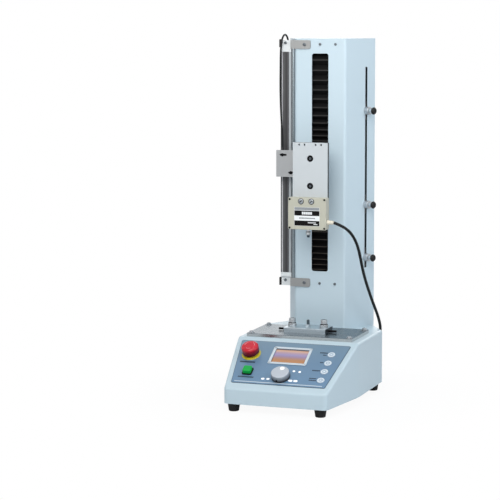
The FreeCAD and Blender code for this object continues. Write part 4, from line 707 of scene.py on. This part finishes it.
sensorCable = {
    "diameter": 6.2, "length": 387.9,
    "route": [(55.5, 26.0, 367.0), (74.2, 29.2, 360.2), (89.1, 36.6, 346.4), (96.8, 46.3, 328.6),
              (100.1, 56.9, 309.9), (101.3, 67.2, 290.6), (101.9, 77.3, 271.2), (103.0, 88.1, 252.1),
              (104.7, 99.6, 233.5), (106.8, 111.7, 215.4), (108.9, 124.4, 197.6), (110.9, 137.9, 180.5),
              (112.8, 152.0, 163.8), (114.4, 165.1, 146.4), (114.6, 177.5, 128.3), (110.4, 190.7, 111.4),
              (97.3, 201.4, 97.9), (78.1, 205.8, 88.5), (60.6, 206.0, 79.5)]}
readerCable = {
    "diameter": 4.0, "length": 360.4,
    "route": [(-81.0, 97.5, 507.0), (-81.4, 97.6, 519.7), (-82.0, 97.8, 533.7), (-82.8, 98.0, 547.8),
              (-83.7, 98.2, 561.9), (-84.6, 98.4, 575.9), (-85.4, 98.5, 590.0), (-86.1, 98.6, 604.0),
              (-86.6, 98.8, 618.1), (-87.0, 99.0, 632.2), (-87.3, 99.3, 646.3), (-87.4, 99.8, 660.4),
              (-87.4, 100.2, 674.4), (-87.2, 100.1, 688.5), (-86.8, 99.2, 702.6), (-86.2, 98.4, 716.6),
              (-85.6, 99.1, 730.7), (-85.1, 103.0, 744.1), (-85.0, 113.1, 753.5), (-85.0, 126.8, 755.6),
              (-85.0, 139.5, 749.8), (-85.2, 146.3, 737.7), (-85.4, 148.4, 723.8), (-85.6, 148.3, 709.7),
              (-85.4, 148.2, 695.6), (-81.9, 150.0, 682.2), (-75.2, 153.3, 672.0)]}


def cableMesh(name, route, diameter):
    # the tube, and the line that it follows, from one smooth spline through the route's points
    data = bpy.data.curves.new(name, "CURVE")
    data.dimensions = "3D"
    data.resolution_u = 8
    spline = data.splines.new("NURBS")
    spline.points.add(len(route) - 1)
    for point, spot in zip(spline.points, route):
        point.co = (*place(*spot), 1)
    spline.order_u = 3
    spline.use_endpoint_u = True
    holder = bpy.data.objects.new(name + "Line", data)
    line = bpy.data.meshes.new_from_object(holder)
    path = [tuple(v.co) for v in line.vertices]
    data.bevel_depth = diameter * mm / 2
    data.bevel_resolution = 5
    data.use_fill_caps = True
    tube = bpy.data.meshes.new_from_object(holder)
    bpy.data.objects.remove(holder)
    bpy.data.meshes.remove(line)
    tube.materials.clear()
    tube.materials.append(jacket)
    obj = bpy.data.objects.new(name, tube)
    bpy.context.collection.objects.link(obj)
    return obj, path


cable, path = cableMesh("sensorCableTube", sensorCable["route"], sensorCable["diameter"])
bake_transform(cable)
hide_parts("sensor_cable")

cable, path = cableMesh("readerCableTube", readerCable["route"], readerCable["diameter"])
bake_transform(cable)
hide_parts("reader_cable")
print("cables laid")

# pleated bellows above and below the carriage arm

# heights of the ends, of the first crease, and of where the blend holds still and moves fully;
# each pitch differs from the first one by step times its number and bend times its square
bellowsSet = {
    "bellowsUpper": {"node": "bellows_upper", "ends": (718.6, 515.3), "crease": 701.9, "pitch": 21.8,
                     "step": -0.7, "bend": -0.055, "fixed": 760, "moving": 504, "finish": upperPleats},
    "bellowsLower": {"node": "bellows_lower", "ends": (249.7, 424.7), "crease": 256.3, "pitch": 10.4,
                     "step": 1.25, "bend": 0.0, "fixed": 212, "moving": 434, "finish": lowerPleats},
    "front": 106.4, "depth": 10.0, "halfWidth": 21.0, "cloth": 0.7, "crease": 0.6}


def makeBellows(name):
    own = bellowsSet[name]
    front, depth = bellowsSet["front"], bellowsSet["depth"]
    near, far = own["ends"]
    way = 1 if far > near else -1
    folds = [(front + depth / 2, near)]
    # one fold back before the first crease, where there is room for it
    if (own["crease"] - near) * way > own["pitch"] * 0.6:
        folds.append((front + depth, own["crease"] - way * own["pitch"] / 2))
    z = own["crease"]
    i = 0
    # the last crease stays a millimetre or more from the far end
    while (far - z) * way > 1:
        pitch = own["pitch"] + own["step"] * i + own["bend"] * i * i
        folds.append((front, z))
        if (far - z) * way > pitch / 2 + 1:
            folds.append((front + depth, z + way * pitch / 2))
        z += way * pitch
        i += 1
    folds.append((front + depth, far))
    # the folded line is drawn out to a sheet, its creases rounded, and the sheet given its thickness
    bm = bmesh.new()
    verts = [bm.verts.new(place(-bellowsSet["halfWidth"], y, z)) for y, z in folds]
    edges = [bm.edges.new(pair) for pair in zip(verts, verts[1:])]
    made = bmesh.ops.extrude_edge_only(bm, edges=edges)["geom"]
    fresh = [g for g in made if isinstance(g, bmesh.types.BMVert)]
    bmesh.ops.translate(bm, verts=fresh, vec=(2 * bellowsSet["halfWidth"] * mm, 0, 0))
    creases = [e for e in bm.edges if len(e.link_faces) == 2]
    bmesh.ops.bevel(bm, geom=creases, offset=bellowsSet["crease"] * mm, segments=3, affect="EDGES", profile=0.5,
                    material=-1)
    bmesh.ops.recalc_face_normals(bm, faces=bm.faces)
    bmesh.ops.solidify(bm, geom=bm.faces, thickness=bellowsSet["cloth"] * mm)
    bmesh.ops.recalc_face_normals(bm, faces=bm.faces)
    obj = makePiece(name, bm, own["finish"], None, 50)
    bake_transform(obj)
    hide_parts(own["node"])


makeBellows("bellowsUpper")
makeBellows("bellowsLower")
print("bellows pleated")

# print and lamps on the control slope

# each place is its middle across and up the slope, then its width and height; block is about a block's pitch,
# and corners are shares of the height
panelPrint = {
    "lift": 1.0, "thick": 0.12, "block": 2.6, "share": 0.82, "blockCorner": 0.1,
    "lampOut": 0.9, "lampCorner": 0.48, "lampRound": 0.35,
    "line": (-0.8, 25.2, 187, 2.0), "lineCorner": 0.9,
    "dashes": [(-84.6, 86.6, 33, 4.6), (-74.0, 39.4, 34, 3.8),
               (67.6, 129.7, 16.6, 3.4), (71.2, 122.9, 7.4, 3.0), (71.4, 99.2, 7.4, 3.6), (66.6, 72.8, 16.4, 3.6),
               (66.9, 47.8, 15.4, 3.2), (67.5, 41.8, 15.4, 3.2)],
    "lamps": [(21.7, 65.8, 5.6, 5.2), (34.3, 64.8, 5.6, 5.2), (-36.0, 36.3, 7.5, 5.2), (-25.0, 36.8, 7.0, 5.2),
              (22.8, 35.8, 9.0, 5.4), (33.7, 35.8, 9.0, 5.4)]}
bm = bmesh.new()
x, u, width, depth = panelPrint["line"]
addSlab(bm, onSlope(x, u, panelPrint["lift"]), width, depth, panelPrint["thick"], panelPrint["lineCorner"])
makePiece("silverLine", bm, frameSilver, "stand")
bm = bmesh.new()
for x, u, width, depth in panelPrint["dashes"]:
    # a plain row of short blocks stands for each printed word
    count = max(round(width / panelPrint["block"]), 2)
    pitch = width / count
    for i in range(count):
        addSlab(bm, onSlope(x - width / 2 + pitch * (i + 0.5), u, panelPrint["lift"]), pitch * panelPrint["share"],
                depth, panelPrint["thick"], depth * panelPrint["blockCorner"])
makePiece("panelDashes", bm, printInk, "stand")
bm = bmesh.new()
for x, u, width, depth in panelPrint["lamps"]:
    addSlab(bm, onSlope(x, u, panelPrint["lift"]), width, depth, panelPrint["lampOut"],
            depth * panelPrint["lampCorner"], panelPrint["lampRound"])
makePiece("panelLamps", bm, lampWhite, "stand")

# a slab whose two flat faces are opened in the middle and bridged
windowFrame = {"inner": (71.6, 44.0), "border": 5.5, "u": 112.5, "lift": 1.8, "thick": 0.25, "corner": 1.6}
bm = bmesh.new()
width, depth = (inner + 2 * windowFrame["border"] for inner in windowFrame["inner"])
addSlab(bm, onSlope(0, windowFrame["u"], windowFrame["lift"]), width, depth, windowFrame["thick"],
        windowFrame["corner"])
bm.faces.ensure_lookup_table()
slopeOut = onSlope(0, 0).to_3x3() @ Vector((0, 0, 1))
flat = [f for f in bm.faces if abs(abs(f.normal.dot(slopeOut)) - 1) < 1e-4]
bmesh.ops.inset_individual(bm, faces=flat, thickness=windowFrame["border"] * mm)
bmesh.ops.delete(bm, geom=flat, context="FACES_ONLY")
rims = [e for e in bm.edges if len(e.link_faces) == 1]
bmesh.ops.bridge_loops(bm, edges=rims)
bmesh.ops.recalc_face_normals(bm, faces=bm.faces)
makePiece("windowTrim", bm, frameSilver, "stand")

keySet = {"x": 85.0, "u": [43.1, 70.3, 97.5, 124.7], "ringFrom": 2.05,
          "ring": [(2.4, 0), (2.4, 0.16), (4.3, 0.16), (4.3, 0), (2.4, 0)]}
for i, u in enumerate(keySet["u"]):
    bm = bmesh.new()
    addTurned(bm, onSlope(keySet["x"], u, keySet["ringFrom"]), keySet["ring"], 32)
    makePiece(f"keyInlay{i + 1}", bm, keyInk, f"key_{i + 1}_cap")

# three twist marks on the red head, each one spun through an arc in degrees about the middle of its turn
# the pale arcs are twist marks and also a painted highlight, standing in for the highlight streaks on the crown
stopMarks = {"x": -84.5, "u": 112.0, "top": 24.35, "radius": 10.4, "width": 0.9, "arc": 58, "steps": 10,
             "thick": 0.12, "turns": (30, 150, 270)}
bm = bmesh.new()
for turn in stopMarks["turns"]:
    start = math.radians(turn - stopMarks["arc"] / 2)
    ends = [bm.verts.new(place(r * math.cos(start), r * math.sin(start), 0))
            for r in (stopMarks["radius"] - stopMarks["width"] / 2, stopMarks["radius"] + stopMarks["width"] / 2)]
    bmesh.ops.spin(bm, geom=ends + [bm.edges.new(ends)], cent=(0, 0, 0), axis=(0, 0, 1),
                   angle=math.radians(stopMarks["arc"]), steps=stopMarks["steps"])
made = bmesh.ops.extrude_face_region(bm, geom=list(bm.faces))["geom"]
bmesh.ops.translate(bm, verts=[v for v in made if isinstance(v, bmesh.types.BMVert)],
                    vec=(0, 0, stopMarks["thick"] * mm))
bmesh.ops.recalc_face_normals(bm, faces=bm.faces)
bmesh.ops.transform(bm, matrix=onSlope(stopMarks["x"], stopMarks["u"], stopMarks["top"]), verts=bm.verts)
makePiece("stopMarks", bm, markPink, "stop_head")

# the grub screw in the dial's grip ring
grubScrew = {"x": -3.0, "u": 26.2, "lift": 6.6, "radius": 2.0, "height": 0.7}
bm = bmesh.new()
way = onSlope(0, 0).to_3x3() @ Vector((0, -1, 0))
spot = onSlope(grubScrew["x"], grubScrew["u"], grubScrew["lift"]).to_translation() / mm
addHead(bm, facing(spot, way), grubScrew["radius"], grubScrew["height"], "hex")
makePiece("dialGrubScrew", bm, blackOxide, "speed_dial")
print("control slope printed")

# label and screws on the gauge, and the painted highlights in the sockets of the carriage plate's two screws

# bands go from a low to a high z; blocks are a span in x, a middle z, a height, how many, and their finish
gaugeSet = {
    "front": 15.5, "left": -27.3, "right": 27.3, "margin": 0.5, "plateThick": 0.12, "bandThick": 0.08,
    "blockThick": 0.06, "blockShare": 0.84, "plateCorner": 0.8, "bandCorner": 0.3,
    "cornerHead": (2.2, 0.9), "clampHead": (5.3, 2.0),
    "clampShadeRing": [(5.4, 0), (5.4, 0.5), (6.3, 0.5), (6.3, 0), (5.4, 0)], "clampSlotShade": (7.0, 1.3, 0.1, 0.3),
    "bands": [(392.4, 398.2, labelGrey), (380.8, 391.4, labelBlack), (359.6, 370.3, labelBlack)],
    "blocks": [((-11.2, 11.4), 386.1, 5.6, 5, labelWhite), ((-17.0, 18.0), 375.6, 2.6, 12, labelGrey),
               ((2.0, 20.0), 366.4, 1.8, 7, labelWhite), ((14.5, 23.5), 363.0, 1.6, 3, labelWhite)],
    "plate": (359.2, 398.6), "corners": [(-38.0, 414.6), (38.0, 414.6), (-38.0, 354.8), (38.0, 354.8)],
    "heads": [(-13.2, 410.6), (9.6, 410.6)]}
bm = bmesh.new()
low, high = gaugeSet["plate"]
addSlab(bm, facing((0, gaugeSet["front"], (low + high) / 2), (0, -1, 0)),
        gaugeSet["right"] - gaugeSet["left"] + 2 * gaugeSet["margin"], high - low, gaugeSet["plateThick"],
        gaugeSet["plateCorner"])
makePiece("gaugeLabelPlate", bm, labelWhite, "carriage")
for i, (low, high, finish) in enumerate(gaugeSet["bands"]):
    bm = bmesh.new()
    addSlab(bm, facing((0, gaugeSet["front"] - gaugeSet["plateThick"], (low + high) / 2), (0, -1, 0)),
            gaugeSet["right"] - gaugeSet["left"], high - low, gaugeSet["bandThick"], gaugeSet["bandCorner"])
    makePiece(f"gaugeBand{i + 1}", bm, finish, "carriage")
for i, ((left, right), z, height, count, finish) in enumerate(gaugeSet["blocks"]):
    bm = bmesh.new()
    pitch = (right - left) / count
    front = gaugeSet["front"] - gaugeSet["plateThick"] - gaugeSet["bandThick"]
    for k in range(count):
        addSlab(bm, facing((left + pitch * (k + 0.5), front, z), (0, -1, 0)), pitch * gaugeSet["blockShare"],
                height, gaugeSet["blockThick"], height * 0.1)
    makePiece(f"gaugeBlocks{i + 1}", bm, finish, "carriage")
bm = bmesh.new()
for x, z in gaugeSet["corners"]:
    addHead(bm, facing((x, gaugeSet["front"], z), (0, -1, 0), 20), *gaugeSet["cornerHead"], "cross")
makePiece("gaugeCornerScrews", bm, blackOxide, "carriage")
bm = bmesh.new()
for x, z in gaugeSet["heads"]:
    addHead(bm, facing((x, gaugeSet["front"], z), (0, -1, 0), 45), *gaugeSet["clampHead"], "cross", 0.4, 0.55)
makePiece("gaugeClampScrews", bm, nickel, "carriage")
# painted shade: a black ring round each clamp screw for the shadow of its recess, and a black slot on its head
bm = bmesh.new()
for x, z in gaugeSet["heads"]:
    addTurned(bm, facing((x, gaugeSet["front"], z), (0, -1, 0)), gaugeSet["clampShadeRing"], 32)
    # a slot of painted shade lies on the head, sunk by 0.05
    slotOut = gaugeSet["front"] - gaugeSet["clampHead"][1] + 0.05
    addSlab(bm, facing((x, slotOut, z), (0, -1, 0), 35), *gaugeSet["clampSlotShade"])
makePiece("gaugeClampShadeRings", bm, labelBlack, "carriage")

plateSocketGlints = {"spots": [498.6, 441.0], "front": 37.1, "across": 5.0, "thick": 0.12, "corner": 1.6}
bm = bmesh.new()
# painted highlight: a grey floor in each black screw socket
for z in plateSocketGlints["spots"]:
    addSlab(bm, facing((0, plateSocketGlints["front"], z), (0, -1, 0)), plateSocketGlints["across"], plateSocketGlints["across"],
            plateSocketGlints["thick"], plateSocketGlints["corner"])
makePiece("plateSocketHighlights", bm, screwSteel, "carriage")
print("gauge labelled")

# black end caps of the scale, and the grommet where the reader's cable goes into the column

scaleCaps = {"x": -91.2, "y": 115.0, "spots": [737.0, 227.0], "size": (4.4, 12.0, 17.0), "corner": 1.0,
             "rounding": 1.2}
bm = bmesh.new()
for z in scaleCaps["spots"]:
    width, depth, height = scaleCaps["size"]
    addSlab(bm, facing((scaleCaps["x"], scaleCaps["y"], z - height / 2), (0, 0, 1)), width, depth, height,
            scaleCaps["corner"], scaleCaps["rounding"])
makePiece("scaleEndCaps", bm, blackPlastic, "stand")

grommet = {"at": (-77.9, 152.1, 676.4), "way": (-0.9076, -0.4197, 0.0),
           "outline": [(1.8, -1.0), (1.8, 2.2), (2.6, 2.8), (3.6, 2.2), (4.4, 0.8), (5.0, 0.0), (5.0, -1.0),
                       (1.8, -1.0)]}
bm = bmesh.new()
addTurned(bm, facing(grommet["at"], grommet["way"]), grommet["outline"], 32)
makePiece("readerCableGrommet", bm, rubber, "stand")

# small screws of the column, brackets, reader, rear and underside

# size is a head's radius and height and its recess; each screw is turned on from the one before
screwSet = {
    "column": {"spots": [(0, 103.5, 735), (34, 103.5, 735), (0, 103.5, 226.7), (34, 103.5, 226.7)],
               "way": (0, -1, 0), "size": (2.9, 1.6, "hex"), "finish": screwSteel, "body": "stand"},
    "bracket": {"spots": [(-33.8, 100.5, 734.5), (-33.8, 100.5, 227.4)],
                "way": (0, -1, 0), "size": (3.4, 2.0, "hex"), "finish": screwSteel, "body": "stand"},
    "scaleLug": {"spots": [(-79, 110.0, 738), (-79, 110.0, 230)],
                 "way": (0, -1, 0), "size": (3.2, 1.8, "cross"), "finish": screwSteel, "body": "stand"},
    "reader": {"spots": [(-78.0, 86.0, 501.5), (-59.0, 86.0, 463.7)],
               "way": (0, -1, 0), "size": (3.4, 1.8, "cross"), "finish": blackOxide, "body": "carriage"},
    "rearCover": {"spots": [(sx * 84, 187.6, z) for sx in (-1, 1) for z in (150, 340, 530, 725)],
                  "way": (0, 1, 0), "size": (3.0, 1.5, "cross"), "finish": blackOxide, "body": "stand"},
    "underside": {"spots": [(sx * x, y, 16) for sx in (-1, 1) for x, y in ((104, -150), (124, 0), (90, 165))],
                  "way": (0, 0, -1), "size": (2.8, 1.4, "cross"), "finish": nickel, "body": "stand"},
    "footBolts": {"spots": [(sx * x, y, 6.2) for sx in (-1, 1) for x, y in ((92, -176), (115, 118))],
                  "way": (0, 0, -1), "size": (4.6, 2.6, "cross"), "finish": nickel, "body": "stand"}}
screwTurn = 25
for name, own in screwSet.items():
    bm = bmesh.new()
    radius, height, kind = own["size"]
    for i, spot in enumerate(own["spots"]):
        addHead(bm, facing(spot, own["way"], screwTurn * i), radius, height, kind)
    makePiece(name + "Screws", bm, own["finish"], own["body"])
print("screws set")

bpy.context.view_layer.update()
